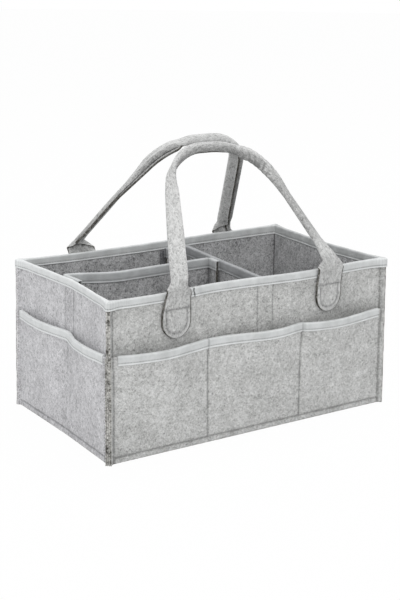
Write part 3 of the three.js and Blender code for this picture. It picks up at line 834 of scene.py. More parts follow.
def rim_paths(side, grow, z, shares):
    """The tape's outer and inner path along one side, each from corner to corner."""
    run, depth = side.run(z), side.depth(z)
    own = (WALL_FELT + SEAT / 2) * 0.92 + grow
    root, tip, near = WALL_FELT + grow, FIN_TIP + grow, side.pinch(z) - grow
    corner = run + root - own / DIAGONAL
    outer, inner = [], []
    for end in (-1, 1):
        outer.append(smooth_corner([
            side.at(end * (corner - TAPE_BEND), depth + root, z),
            side.at(end * (corner - TAPE_BEND * 0.45), depth + root + 0.4, z),
            side.fin(end, tip - ROUND_OFF, own, z),
            side.fin(end, tip, own - ROUND_OFF * 0.8, z), side.fin(end, tip, 0, z),
        ]))
        turns = ((INNER_TURN, 0), (0, 0), (0, INNER_TURN))
        bend = [side.at(end * (run + near - a), depth + near - b, z) for a, b in turns]
        inner.append([bezier(*bend, k) for k in np.linspace(0, 0.5, len(outer[0]))])
    main_outer, main_inner = [], []
    for q in shares:
        place = q * side.run(HEIGHT) - JOINT_AT
        joined = side is sides["front"]
        more = 1.3 * np.exp(-place / 9) if joined and place > 0 else 0
        bow = 0.7 * hump(place, 0, 3) if joined else 0
        t = q * (corner - TAPE_BEND) + bow * np.sin((z - RIM_TAPE_FOOT) * 0.55)
        main_outer.append(side.face(t, root + more * (grow > 0.5), z))
        main_inner.append(side.face(q * (run + near - INNER_TURN), near, z))
    outer_path = outer[0][:0:-1] + main_outer + outer[1][1:-1]
    inner_path = inner[0][:0:-1] + main_inner + inner[1][1:-1]
    return np.stack(outer_path), np.stack(inner_path), len(outer[0]) - 1


face, grow, z, fold, sewn = tape_section(HEIGHT)
every, seams = [], []
for name, side in sides.items():
    run = side.run(HEIGHT)
    shares = shares_for(run, 3.5)
    if name == "front":
        shares = np.unique(np.append(shares, (JOINT_AT + BESIDE_JOINT) / run))
    outer, inner, before = rim_paths(side, grow, z, shares)
    every.append(lerp(inner, outer, ((face + 1) / 2)[None, :, None]))
    mark = np.zeros(len(outer))
    if name == "front":
        mark[before:before + len(shares)] = np.abs(shares * run - JOINT_AT + 0.25) < 0.4
    seams.append(3.2 * np.outer(mark, face > 0) + PAINTED_TAPE_LIGHT.get(name, 0) + sewn)
rim_points = settled(np.concatenate(every))
rim = sheet_mesh("rim_tape", rim_points, [rim_tape], True, seam=np.concatenate(seams), fold=fold)
dress(rim, "shell", "rim_binding")


# %% Pocket tapes
def pocket_tape_reach(sheet, z):
    run = sheet.side.run(z)
    fin_face = (sheet.fin_inner + sheet.thick + SEAT / 2) / DIAGONAL
    return run + sheet.inner(run, z) - fin_face - SEAT / DIAGONAL - TAPE


face, grow, z, fold, sewn = tape_section(POCKET_HEIGHT)
for name, sheet in pockets.items():
    side = sheet.side
    reach = pocket_tape_reach(sheet, z)
    shares = shares_for(side.run(0), 3, side.seams[1:-1] if side.long else ())
    stations, seams = [], []
    for q in [-1, -0.9985, *shares[(shares > -0.99) & (shares < 0.99)], 0.9985, 1]:
        pressed = float(seam_press(q * reach.mean(), 60)) if side.long else 0
        off = SEAT + (grow - SEAT) * (0.45 if abs(q) == 1 else 1) - 0.5 * pressed * (grow > 0.5)
        level = lerp(-off, sheet.thick + off, (face + 1) / 2)
        stations.append(side.face(q * reach, sheet.inner(q * reach, z) + level, z))
        # The left pocket's tape is made paler: painted light.
        seams.append(np.maximum(sewn, 1.6 * pressed * (face > 0)) - (0.8 if name == "left" else 0))
    points = settled(np.stack(stations), MOUTH_LOW, POCKET_HEIGHT, 10)
    tape = sheet_mesh(f"{name}_pocket_tape", points, [rim_tape], seam=np.stack(seams), fold=fold)
    dress(tape, "shell", f"{pocket_node(name)}_binding")

# %% [markdown]
# ## Base
# A sheet with its edges turned up inside the walls, like a shallow tray. Its section runs from
# the middle of the underside out to the edge, up, over and back to the middle of the floor,
# and it is carried round the outline of the floor.

# %% Base
BASE_INNER = SEAT + BASE_FELT
BASE_SECTION = [
    *((inset, 0.0) for inset in (105, 80, 50, 25, 8, 3)), (1.2, 0.3), (SEAT, 1.6), (SEAT, 5),
    (SEAT, 10), (SEAT, BASE_FLANGE - 1), (1.2, BASE_FLANGE), (2.4, BASE_FLANGE),
    (BASE_INNER, BASE_FLANGE - 1), (BASE_INNER, 9), (BASE_INNER + 0.2, 6),
    (BASE_INNER + 1.4, 3.9), (BASE_INNER + 3.5, 3.05),
    *((inset, BASE_FELT) for inset in (8, 16, 25, 36, 50, 65, 80, 105)),
]


def floor_ring(inset, z):
    points = []
    for side in sides.values():
        run = side.run(z)
        for q in np.linspace(-1, 1, 41)[:-1]:
            pulled = side.pull(q * run, z) * np.clip(1 - inset / 40, 0, 1) * (1 - q ** 8)
            points.append(side.at(q * (run - inset), side.depth(z) - inset - pulled, z))
    return np.stack(points)


def close_middle(obj, shape):
    """The grid's last row of faces joins the two middles through the sheet. Two level faces
    close them instead."""
    stations, around = shape[:2]
    mesh = bmesh.new()
    mesh.from_mesh(obj.data)
    mesh.verts.ensure_lookup_table()
    through = [f for f in mesh.faces if {v.index % around for v in f.verts} == {0, around - 1}]
    bmesh.ops.delete(mesh, geom=through, context="FACES_ONLY")
    for row in (0, around - 1):
        ring = [mesh.verts[k * around + row] for k in range(stations)]
        mesh.faces.new(ring if row else ring[::-1]).smooth = True
    mesh.normal_update()
    bmesh.ops.triangulate(mesh, faces=[f for f in mesh.faces if len(f.verts) > 4])
    mesh.to_mesh(obj.data)
    mesh.free()


inset, z = np.array(BASE_SECTION).T
points = floor_ring(inset, z)
bulge = 0.3 * ripple(points[..., 0] * 0.7, points[..., 1] * 0.7, SEED + 5) - 0.3
points[..., 2] += bulge * ((inset > 12) & (z > 2))
base = sheet_mesh("base_felt", points, [inner_felt], True)
close_middle(base, points.shape)
dress(base, "shell", "base_panel")

# %% [markdown]
# ## Divider
# A cross panel and a long panel, each a sheet of felt whose ends are folded into flanges that
# lie on the walls, or on the other panel. A sheet can't be folded sharply: the path through
# the folds is a curve, and the sheet keeps its thickness round it.

# %% Bands that follow a path
class Band:
    """A sheet that stands on a path in plan. Its left face is at +level."""

    def __init__(self, path):
        self.path = path
        ahead = np.gradient(path, axis=0)
        self.ahead = ahead / np.linalg.norm(ahead, axis=1)[:, None]
        self.left = np.stack([-self.ahead[:, 1], self.ahead[:, 0]], axis=-1)

    def points(self, level, z, grow=0.0, squeeze=1.0):
        """The band's grid. Its ends can be moved out, and be thinner than the rest."""
        last = len(self.path) - 1
        stations = []
        for k, (place, ahead, left) in enumerate(zip(self.path, self.ahead, self.left)):
            off = level * squeeze if k in (0, last) else level
            shift = grow * ((k == last) - (k == 0))
            stations.append(np.column_stack([place + np.outer(off, left) + shift * ahead, z]))
        return np.stack(stations)

    def capped(self, level, z, grow, end_level, end_grow):
        """The same with one more place at each end, which rounds it off."""
        ends = self.points(end_level, z, end_grow)[[0, -1]]
        return np.concatenate([ends[:1], self.points(level, z, grow), ends[1:]])


def toward(start, end, reach):
    """The point at some reach from the start toward the end."""
    return start + (end - start) / np.hypot(*(end - start)) * reach


def bent(*runs, reach=5.0, clear=8.0, step=2.2):
    """One even path through some runs of points, rounded where they meet."""
    points = [runs[0][0]]
    for run, following in zip(runs, runs[1:] + (None,)):
        first, corner = run[0], run[-1]
        points += [p for p in run[1:-1] if min(math.dist(p, first), math.dist(p, corner)) > clear]
        if following is None:
            points.append(corner)
        else:
            into, out = toward(corner, run[-2], reach), toward(corner, following[1], reach)
            points += [bezier(into, corner, out, k) for k in np.linspace(0, 1, 9)]
    return evenly(points, step)[1]


def rim_run(name, start, end, offset, step=3):
    places = np.linspace(start, end, max(int(abs(end - start) / step), 2) + 1)
    return list(sides[name].face(places, offset, HEIGHT)[:, :2])


def straight(start, end, step=4):
    count = max(int(np.hypot(*(end - start)) / step), 2)
    return [lerp(start, end, k / count) for k in range(count + 1)]


print("bands ready")

# %% Paths of the two panels
DIVIDER_FOOT = BASE_FELT + SEAT
DIVIDER_TOP = HEIGHT - 9.3
DIVIDER_HALF = DIVIDER_FELT / 2
JOINT_SHARE, JOINT_FLANGE = 0.64, 18.5
FLANGE_RISE = 6.5
flange_offset = -(STRIP_STACK + DIVIDER_HALF)
cross_front = rim_run("front", -5, 24, flange_offset)
cross_back = rim_run("back", -38, -9, flange_offset)
cross_length = np.hypot(*(cross_back[0] - cross_front[-1]))
cross_unit = (cross_back[0] - cross_front[-1]) / cross_length


def beside_cross(reach, offset):
    return cross_front[-1] + cross_unit * reach + np.array([-cross_unit[1], cross_unit[0]]) * offset


joint_reach = cross_length * JOINT_SHARE
joint_offset = DIVIDER_FELT + STRIP_STACK
long_left = rim_run("left", -19, 13, flange_offset)[::-1]
long_corner = beside_cross(joint_reach, joint_offset)
long_end = beside_cross(joint_reach - JOINT_FLANGE, joint_offset)
cross_path = bent(cross_front, straight(cross_front[-1], cross_back[0]), cross_back)
long_path = bent(long_left, straight(long_left[-1], long_corner), straight(long_corner, long_end),
                 reach=3.2, clear=5.5, step=1.5)
print("panels:", len(cross_path), "and", len(long_path), "places")


# %% Panels and their tapes
def raised(name, points):
    """The long panel's top edge rides up where its flange stands at the left wall."""
    if name == "long_divider":
        away = points[..., 0] + inner_length(HEIGHT)
        lift = FLANGE_RISE * (1 - smooth(away, 4, 88))
        points[..., 2] += lift * smooth(points[..., 2], DIVIDER_TOP - 45, DIVIDER_TOP - TAPE_DEPTH)
    return points


def painted_crease_shade(name, points):
    """The long panel's fold beside the joint is pressed hard: painted shade in it, darkest on the
    fold.
    """
    if name == "cross_divider":
        return 0
    away = np.hypot(points[..., 0] - long_corner[0], points[..., 1] - long_corner[1])
    return 1 - smooth(away, 2.2, 4.2) + 0.35 * (1 - smooth(away, 4, 11))


def make_panel(name, path, seed, cloth):
    band = Band(path)
    level, z = sheet_levels(DIVIDER_FELT, DIVIDER_FOOT, DIVIDER_TOP, 7)
    level = level - DIVIDER_HALF
    points = band.capped(level, z, 0, level * 0.5, 0.3)
    share = np.linspace(0, 1, len(points))[:, None]
    bow = smooth(share, 0.25, 0.45) * (1 - smooth(share, 0.6, 0.8))
    swing = 0.7 * ripple(share * 160, z * 0.6, seed) * bow * smooth(DIVIDER_TOP - z, 10, 40)
    left = np.concatenate([band.left[:1], band.left, band.left[-1:]])
    points[..., :2] += swing[..., None] * left[:, None]
    points = raised(name, points)
    panel = sheet_mesh(f"{name}_felt", points, [inner_felt, strap_edge_and_shade], edge_ends=1,
                       edge_rows=(0, len(z) - 1), seam=1.3 * painted_crease_shade(name, points))
    dress(panel, name, name)
    face, grow, z, fold, sewn = tape_section(DIVIDER_TOP)
    end_level = face * (DIVIDER_HALF + SEAT + (grow - SEAT) * 0.4)
    points = band.capped(face * (DIVIDER_HALF + grow), z, TAPE_GROW, end_level, TAPE_GROW + 0.5)
    points = raised(name, points)
    tape = sheet_mesh(f"{name}_tape", points, [cloth], fold=fold,
                      seam=sewn + 1.9 * painted_crease_shade(name, points))
    dress(tape, name, f"{name}_binding")
    return band


bands = {
    "cross_divider": make_panel("cross_divider", cross_path, SEED + 60, cross_tape_painted_shade),
    "long_divider": make_panel("long_divider", long_path, SEED + 61, long_tape_painted_shade),
}

# %% [markdown]
# ## Hook and loop strips
# Three loop strips are sewn to the walls, hook strips to the flanges, and a pair joins the two
# panels. Each is a thin band of cloth with a rough face.

# %% Strips
STRIP_FOOT = 95
STRIP_TOP = RIM_TAPE_FOOT - SEAT - TAPE
HOOK_TOP = DIVIDER_TOP - TAPE_DEPTH - SEAT - TAPE
STRIP_MIDDLE = SEAT + STRIP / 2

level, z = sheet_levels(STRIP, STRIP_FOOT, STRIP_TOP, 5, edge=0.3)
for name, centre in LOOP_STRIPS.items():
    stations = []
    for k, t in enumerate(np.linspace(centre - STRIP_HALF, centre + STRIP_HALF, 14)):
        off = (level - STRIP / 2) * (0.5 if k in (0, 13) else 1)
        stations.append(sides[name].face(t, off - STRIP_MIDDLE, z))
    strip = sheet_mesh(f"{name}_loop_strip_cloth", np.stack(stations), [loop_cloth])
    dress(strip, "shell", f"{name}_loop_strip")


def joint_path(offset):
    return straight(beside_cross(joint_reach - 15, offset), beside_cross(joint_reach - 3, offset))


level, z = sheet_levels(STRIP, STRIP_FOOT, HOOK_TOP, 6, edge=0.3)
hook_offset = STRIP_MIDDLE - STRIP_STACK
for name, path, cloth, body in (
    ("cross_front_hook_strip", rim_run("front", -2, 18, hook_offset), hook_cloth, "cross_divider"),
    ("cross_back_hook_strip", rim_run("back", -32, -12, hook_offset), hook_cloth, "cross_divider"),
    ("long_left_hook_strip", rim_run("left", -8, 11, hook_offset), hook_cloth, "long_divider"),
    ("cross_loop_strip", joint_path(DIVIDER_HALF + STRIP_MIDDLE), loop_cloth, "cross_divider"),
    ("long_right_hook_strip", joint_path(DIVIDER_HALF - hook_offset), hook_cloth, "long_divider"),
):
    points = Band(evenly(path, 1.8)[1]).points(level - STRIP / 2, z, squeeze=0.7)
    dress(sheet_mesh(f"{name}_cloth", points, [cloth]), body, name)

# %% [markdown]
# ## Handles
# Each handle is one felt strip. Its flat ends are the round tabs sewn to the wall. Above the
# rim its sides fold inward, and further up it is rolled round a cord until its raw edges meet
# on the inner side. The section is drawn by adding up its curvature from the middle to the
# edge: none in the tab, two folds at the neck, an even roll along the loop. Below the hinge
# line the strip follows the wall, above it the arch, with a soft change between.

# %% Section of the strip
TAB_SPAN, TAB_WIDTH = 206, 37
TAB_FOOT = POCKET_HEIGHT + 8
TAB_MIDDLE = TAB_FOOT + TAB_WIDTH / 2
TAB_LINE, TAB_INSET = 160.5, 5.2
TAB_ROUND = TAB_WIDTH / 2 - TAB_INSET
HINGE_HEIGHT = HEIGHT + 9
HINGE_ROOM = 3
TAB_LIFT = 0.2
NECK_THICK = 6.2
LOOP_HALF = 14.4
BEND_RADIUS = 1.45
CUBIC_AREA = 1.786
ACROSS = 19
WRINKLE_SLANT = 0.35

# Each leg, by its reach above the hinge line: where its flat fold turns into a roll; how far its
# seam lies toward its outer edge; where its two sides fold in, how much narrower they get before,
# and how the far side's fold bulges; its wrinkles; how far it is twisted; half how wide it is.
HANDLES = {
    "front": dict(
        shift=-1.5, lean=34, rise=153, set_in=(37.5, 58), shoulder=(35.5, 57), cut=(0.3, 0),
        feet=(-1.2, 4.3), tabs=(0, 0), legs=(
            dict(roll=(142, 175), aside=0.35, near=(-15, -5), far=(-13, 3), narrow=(1, 3.2),
                 bulge=1, wrinkles=((118, 0.05), (131, 0.04)),
                 twist=((-6, 0), (8, 8), (20, 16), (30, 20), (110, 24), (126, 60), (142, 105)),
                 wide=((0, 12.6), (54, 11.8), (80, 11), (104, 10.2), (122, 8.6), (142, 8.2),
                       (160, 9))),
            dict(roll=(150, 195), aside=0.35, near=(-12, 2), far=(-14, 3), narrow=(0.5, 0.8),
                 bulge=1, wrinkles=((120, 0.04), (127, 0.06), (134, 0.09), (141, 0.06),
                                    (148, 0.08), (156, 0.09), (165, 0.05), (175, 0.03)),
                 twist=((-6, 0), (8, 10), (20, 25), (28, 33), (90, 36), (128, 6), (162, 14),
                        (198, 105)),
                 wide=((0, 13.4), (25, 12.8), (60, 12), (90, 11.2), (130, 11.5), (160, 12.5))))),
    "back": dict(
        shift=-0.7, lean=33, rise=150, set_in=(30.5, 71), shoulder=(38, 34), cut=(0.2, 0.3),
        feet=(-3.5, -2), tabs=(-4, 0), legs=(
            dict(roll=(125, 175), aside=0.32, near=(-12, 2), far=(-20, -8), narrow=(1, 1),
                 bulge=1, wrinkles=((128, 0.02),),
                 twist=((-6, 0), (6, 16), (16, 40), (110, 46), (200, 60)),
                 wide=((0, 11.8), (60, 11.8), (150, 12))),
            dict(roll=(168, 200), aside=0.8, near=(-11, 3), far=(-9, 3.7), narrow=(0.5, 1.6),
                 bulge=1.25, wrinkles=((139, 0.02),),
                 twist=((-8, 0), (4, 14), (15, 24), (60, 25), (78, 31), (95, 41), (112, 51),
                        (130, 60)),
                 wide=((0, 8.6), (60, 9.2), (110, 10.2), (140, 12), (165, 12))))),
}


def flat_half(leg, reach, edge):
    """Half the strip's width where it is flat: its round foot, then narrower toward the rim."""
    radius = TAB_WIDTH / 2
    below = np.clip(TAB_MIDDLE - HINGE_HEIGHT - reach, 0, radius)
    foot = math.sqrt(max(radius ** 2 - below ** 2, 0.04))
    return foot - leg["narrow"][0 if edge > 0 else 1] * smooth(reach, -40, -10)


def summed(values, u):
    """The values added up along u, from 0 at its start."""
    return sums((values[1:] + values[:-1]) / 2 * np.diff(u))


def strip_section(leg, reach, edge):
    """One half of the strip's section, from its middle to its edge: edge is 1 or -1. It is
    drawn by adding up its curvature. The fold comes in from the edge as the tab turns into
    the strap, so the folded part grows along a slanting line."""
    start, end = leg["near" if edge > 0 else "far"]
    folded = float(np.clip((reach - start) / (end - start), 0, 1))
    folded = folded ** (1 if edge > 0 else leg["bulge"])
    roll = smooth(reach, *leg["roll"])
    wide = along(leg["wide"], reach)
    centre = wide - BEND_RADIUS - HANDLE_FELT / 2
    bend_length = math.pi * BEND_RADIUS
    own = 2 * centre + bend_length / 2 + edge * leg["aside"] * wide
    own = lerp(flat_half(leg, reach, edge), own, folded ** 2)
    own = lerp(own, LOOP_HALF * (1 + edge * 0.12), roll)
    u = np.linspace(0, own, ACROSS)
    spread = bend_length / CUBIC_AREA
    middle = lerp(own + 1.6 * spread, centre, folded)
    turning = math.pi * (0.95 if edge > 0 else 1.0)
    fold = np.exp(-np.abs((u - middle) / spread) ** 3) / bend_length * turning
    angle = summed(lerp(fold, math.pi * 0.965 / LOOP_HALF, roll), u)
    cos, sin = np.cos(angle), np.sin(angle)
    line = np.column_stack([summed(cos, u), summed(sin, u)])
    off = np.column_stack([sin, -cos]) * HANDLE_FELT / 2
    onward = np.array([cos[-1], sin[-1]]) * 0.35
    ends = [line[-1] + 0.7 * side * off[-1] + onward for side in (1, -1)]
    outer, inner = np.vstack([line + off, ends[0]]), np.vstack([ends[1], (line - off)[::-1]])
    return outer * (edge, 1), inner * (edge, 1)


def strip_loop(leg, reach):
    """The strip's whole section: along its outer face, round the edge and back inside."""
    near_face, near_back = strip_section(leg, reach, 1)
    far_face, far_back = strip_section(leg, reach, -1)
    return np.vstack([far_face[::-1], near_face[1:], near_back, far_back[::-1][1:]]).T


print("points round the strip:", len(strip_loop(HANDLES["front"]["legs"][0], 0)[0]))


# %% Arch of a handle
def arch_points(rise, set_in, shoulder, cut, feet):
    """Evenly spaced points of the arch in its own plane, with the direction at each."""
    half = TAB_SPAN / 2
    feet = np.array([(feet[0] - half, 0), (half - feet[1], 0)])
    corners = np.array([(set_in[0] - half, rise), (half - set_in[1], rise)])
    rounds = []
    for i, corner in enumerate(corners):
        start, end = (toward(corner, other, shoulder[i]) for other in (feet[i], corners[1 - i]))
        rounds.append([lerp(bezier(start, corner, end, k), lerp(start, end, k), cut[i])
                       for k in np.linspace(0, 1, 60)])
    places, points = evenly([feet[0], *rounds[0], *rounds[1][::-1], feet[1]], 2.6)
    for k in (0, 1):
        points[2:-2, k] = np.convolve(points[:, k], np.array([1, 2, 3, 2, 1]) / 9, mode="valid")
    ahead = np.gradient(points, axis=0)
    return points, ahead / np.hypot(*ahead.T)[:, None], places


class Handle:
    def __init__(self, side, shift, lean, rise, set_in, shoulder, cut, feet, tabs, legs):
        self.side, self.shift, self.lean, self.legs = side, shift, math.radians(lean), legs
        self.centres = [tabs[0] - TAB_SPAN / 2 + shift, TAB_SPAN / 2 - tabs[1] + shift]
        behind = np.concatenate([np.linspace(c - 13, c + 13, 9) for c in self.centres])
        wall = float(np.max(side.depth(HEIGHT) - side.pull(behind, HEIGHT))) + WALL_FELT
        self.depth = wall + SEAT + TAPE_GROW + HINGE_ROOM + SEAT + NECK_THICK / 2
        self.points, self.ahead, self.places = arch_points(rise, set_in, shoulder, cut, feet)
        self.length = self.places[-1]

    def on_wall(self, leg, x, y, reach):
        """A point of the strip where it lies on the wall, y counted inward from its middle."""
        t = self.centres[leg] + (x if leg == 0 else -x)
        z = HINGE_HEIGHT + reach
        tape = smooth(z, RIM_TAPE_FOOT - TAPE_DEPTH, RIM_TAPE_FOOT - TAPE) * TAPE_GROW
        offset = WALL_FELT + SEAT + tape + TAB_LIFT + HANDLE_FELT / 2 - y
        level = min(z, HEIGHT)
        return self.side.at(t, self.side.depth(level) - self.side.pull(t, level) + offset, z)

    def on_arch(self, leg, x, y, reach):
        """A point of the strip on the arch, with reach counted along it from a foot."""
        place = np.clip(reach if leg == 0 else self.length - reach, 0, self.length)
        px, pz = (np.interp(place, self.places, self.points[:, k]) for k in (0, 1))
        ax, az = (np.interp(place, self.places, self.ahead[:, k]) for k in (0, 1))
        steep = smooth(reach, 0, 12)
        ax, az = lerp(0, ax, steep), lerp(1 if leg == 0 else -1, az, steep)
        size = math.hypot(ax, az)
        t = self.shift + px + az / size * x
        pz = pz - ax / size * x + min(reach, 0)
        inward = y * math.cos(self.lean) + pz * math.sin(self.lean)
        z = -y * math.sin(self.lean) + pz * math.cos(self.lean)
        return self.side.at(t, self.depth - inward, HINGE_HEIGHT + z)

    def station(self, leg, reach):
        """The strip's section in its place: on the wall, on the arch, or between them."""
        data = self.legs[leg]
        x, y = strip_loop(data, reach)
        flat = self.on_wall(leg, x, y, reach)
        if reach < -20:
            return flat
        angle = math.radians(along(data["twist"], reach))
        y = y - (y.min() + y.max()) / 2
        slanted = reach + WRINKLE_SLANT * x
        dents = 1 - sum(size * hump(slanted, at, 1.7) for at, size in data["wrinkles"])
        turned_x = (x * math.cos(angle) + y * math.sin(angle)) * dents
        turned_y = (y * math.cos(angle) - x * math.sin(angle)) * dents
        return lerp(flat, self.on_arch(leg, turned_x, turned_y, reach), smooth(reach, -20, 6))


handles = {name: Handle(sides[name], **data) for name, data in HANDLES.items()}
print("arches:", [round(float(handle.length)) for handle in handles.values()], "mm")

# %% [markdown]
# A strap isn't evenly grey: its tabs are pressed along their stitches, and shade is painted into
# its wrinkles, its flaps, the back straps' inner faces, the grip's underside and the front
# handle's right leg, with a painted highlight on one flap's edge. These marks go into the same
# attribute as the seams of the sheets.

# %% Marks on the straps
def tab_seam(x, reach):
    """Where the tab's stitches press the strip: a level line and a round line below it."""
    height = HINGE_HEIGHT + reach
    distance = np.abs(x) if height > TAB_MIDDLE else np.hypot(x, height - TAB_MIDDLE)
    round_line = hump(distance, TAB_ROUND, 0.9) * (height < TAB_LINE)
    return np.clip(hump(height, TAB_LINE, 1.0) + round_line, 0, 1)


def strip_marks(name, leg, reach):
    """How dark the strip is marked: pressed along its stitches, with painted shade and light."""
    data = HANDLES[name]["legs"][leg]
    x = strip_loop(data, reach)[0]
    place = (np.arange(len(x)) - ACROSS) / ACROSS
    outside = place < 1.05
    flap = smooth(np.abs(place), 0.45, 0.6) * outside
    # Pressed along the tab's stitches, and paler above the rim.
    marks = tab_seam(x, reach) * outside - 0.32 * smooth(reach, -12, 28)
    if name == "front":
        # Painted shade on the underside of the front handle's grip, and along its right leg.
        under = place - along(data["twist"], reach) / 180
        grip = smooth(reach, 122, 142) * (1 if leg == 0 else smooth(reach, 105, 150))
        painted_leg_shade = 0.65 * smooth(reach, 10, 50) * (1 - smooth(reach, 110, 150)) if leg == 1 else 0
        marks = marks + np.minimum(1.3 * grip * smooth(under, -0.35, 0.28) + painted_leg_shade, 1.1) * outside
    elif leg == 0:
        # Painted shade on the flaps of the back handle's right leg, with a painted highlight near
        # one raw edge.
        shade = np.where(place > 0.88, -0.5, np.where(place > 0, 0.4, 1.1))
        marks = marks + flap * (1 - smooth(reach, 120, 150)) * shade
    else:
        # Painted shade on the flaps of the back handle's left leg, most near its top.
        marks = marks + flap * (0.1 + smooth(reach, 100, 130) * (1 - smooth(reach, 160, 180)) * 0.8)
    if name == "back":
        # Painted shade on the back straps' inner faces above the tabs.
        marks = marks + 0.5 * ~outside * smooth(reach, -20, -6)
    # Painted shade in the wrinkles.
    for at, size in data["wrinkles"]:
        painted_wrinkle_shade = 9 * size * hump(reach + WRINKLE_SLANT * x, at, 1.3)
        marks = marks + painted_wrinkle_shade * outside * smooth(place, -0.5, 0.1)
    return marks


def strap_reaches(length):
    """Places from a tab's foot to the middle of the arch, closest where the strip bends."""
    low = [TAB_MIDDLE - HINGE_HEIGHT - TAB_WIDTH / 2 * math.cos(a)
           for a in np.linspace(0.02, 0.5, 9) * math.pi]
    low += [*np.arange(low[-1] + 1.6, -21, 1.7), *np.arange(-20, 50, 1.25)]
    rest = length / 2 - 50
    return low + list(50 + np.linspace(0, rest - 0.8, int(rest / 1.6) + 1))


print("places along a strap's half:", len(strap_reaches(handles["front"].length)))

# %% [markdown]
# Each strap is one mesh from tab to tab: its tabs lie on the wall and its arch stands over the
# box, with a blend between them over a short height at the hinge line.

for name, handle in handles.items():
    reaches = strap_reaches(handle.length)
    points = [[handle.station(leg, reach) for reach in reaches] for leg in (0, 1)]
    marks = [[strip_marks(name, leg, reach) for reach in reaches] for leg in (0, 1)]
    points, marks = (np.stack(both[0] + both[1][::-1]) for both in (points, marks))
    rows = points.shape[1]
    edges = (0, 1, *range(rows // 2 - 3, rows // 2 + 1), rows - 2, rows - 1)
    strap = sheet_mesh(f"{name}_handle_strap", points, [strap_felt, strap_edge_and_shade],
                       edge_rows=edges, seam=marks)
    hinge = handle.side.at(handle.shift, handle.depth, HINGE_HEIGHT) * MM
    x, y = float(hinge[0]), float(hinge[1])
    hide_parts(f"{name}_handle_cover",
                f"{name}_handle_left_tab", f"{name}_handle_right_tab")
    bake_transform(strap)
    print(strap.name, len(strap.data.polygons), "faces")

# %% [markdown]
# ## Filler cord
# A thick soft cord inside each roll keeps it round. It is three strands laid round each
# other, so its section is three lobes that turn along the arch.

# %% Cord
CORD_WIDE, CORD_HIGH, CORD_LOBES = 3.1, 2.3, 0.13
CORD_START = 27

around = np.linspace(0, 2 * np.pi, 24, endpoint=False)
for name, handle in handles.items():
    reaches = np.arange(CORD_START, handle.length - CORD_START + 1, 2.6)
    stations = []
    for reach in reaches:
        radius = 1 + CORD_LOBES * np.cos(3 * (around - reach / 9))
        if reach in (reaches[0], reaches[-1]):
            radius = 0.35 * radius
        x, y = CORD_WIDE * radius * np.cos(around), CORD_HIGH * radius * np.sin(around)
        stations.append(handle.on_arch(0, x, y, reach))
    cord = sheet_mesh(f"{name}_handle_cord", np.stack(stations), [cord_yarn])
    dress(cord, f"{name}_handle", f"{name}_handle_core")

# %% [markdown]
# ## Stitches
# A seam is one small stitch repeated along a line, which is what Geometry Nodes are for: a
# line is cut into equal steps and a rounded stitch is set on each, turned along the line, with
# a little randomness in its tilt. All lines of a body go through one tree and become one mesh.

# %% Stitch tree
STITCH_SIZES = {"Pitch": 3.3, "Stitch Length": 2.1, "Stitch Width": 0.8, "Stitch Height": 0.55}


def stitch_tree():
    tree = bpy.data.node_groups.new("stitches", "GeometryNodeTree")

    def offer(label, kind, side="INPUT"):
        return tree.interface.new_socket(label, in_out=side, socket_type="NodeSocket" + kind)

    def node(kind, links, **settings):
        made = tree.nodes.new(kind)
        for key, value in settings.items():
            setattr(made, key, value)
        for key, value in links.items():
            if isinstance(value, bpy.types.NodeSocket):
                tree.links.new(value, made.inputs[key])
            else:
                made.inputs[key].default_value = value
        return made.outputs

    offer("Geometry", "Geometry")
    for label, value in STITCH_SIZES.items():
        offer(label, "Float").default_value = value * MM
    offer("Seed", "Int")
    offer("Thread", "Material")
    offer("Geometry", "Geometry", "OUTPUT")
    given = node("NodeGroupInput", {})
    line = {"Curve": given["Geometry"], "Length": given["Pitch"]}
    points = node("GeometryNodeCurveToPoints", line, mode="LENGTH")
    ahead = node("FunctionNodeAlignRotationToVector", {"Vector": points["Tangent"]}, axis="X")
    tilt = {0: (-0.05, -0.05, -0.05), 1: (0.05, 0.05, 0.05), "Seed": given["Seed"]}
    tilt = node("FunctionNodeRandomValue", tilt, data_type="FLOAT_VECTOR")
    tilt = node("FunctionNodeEulerToRotation", {"Euler": tilt[0]})
    turned = {"Rotation": ahead["Rotation"], "Rotate By": tilt["Rotation"]}
    turned = node("FunctionNodeRotateRotation", turned)
    size = dict(zip("XYZ", (given[label] for label in list(STITCH_SIZES)[1:])))
    ball = node("GeometryNodeMeshUVSphere", {"Segments": 6, "Rings": 4, "Radius": 0.5})
    size = node("ShaderNodeCombineXYZ", size)
    stitch = node("GeometryNodeTransform", {"Geometry": ball["Mesh"], "Scale": size[0]})
    spread = node("GeometryNodeInstanceOnPoints", {
        "Points": points["Points"], "Instance": stitch["Geometry"], "Rotation": turned["Rotation"]})
    real = node("GeometryNodeRealizeInstances", {"Geometry": spread["Instances"]})
    coloured = {"Geometry": real["Geometry"], "Material": given["Thread"]}
    coloured = node("GeometryNodeSetMaterial", coloured)
    node("NodeGroupOutput", {"Geometry": coloured["Geometry"]})
    return tree


tree_of_stitches = stitch_tree()
print("stitch tree:", len(tree_of_stitches.nodes), "nodes")

# %% [markdown]
# The lines lie a hair above the surfaces: along the tapes where their skin dips, down the
# seams between the pockets, round the foot of the box, beside the fins, round the tabs and
# along the strips inside.

# %% Lines for the shell
TAPE_ROW = 5
FIN_LINE = 5.2

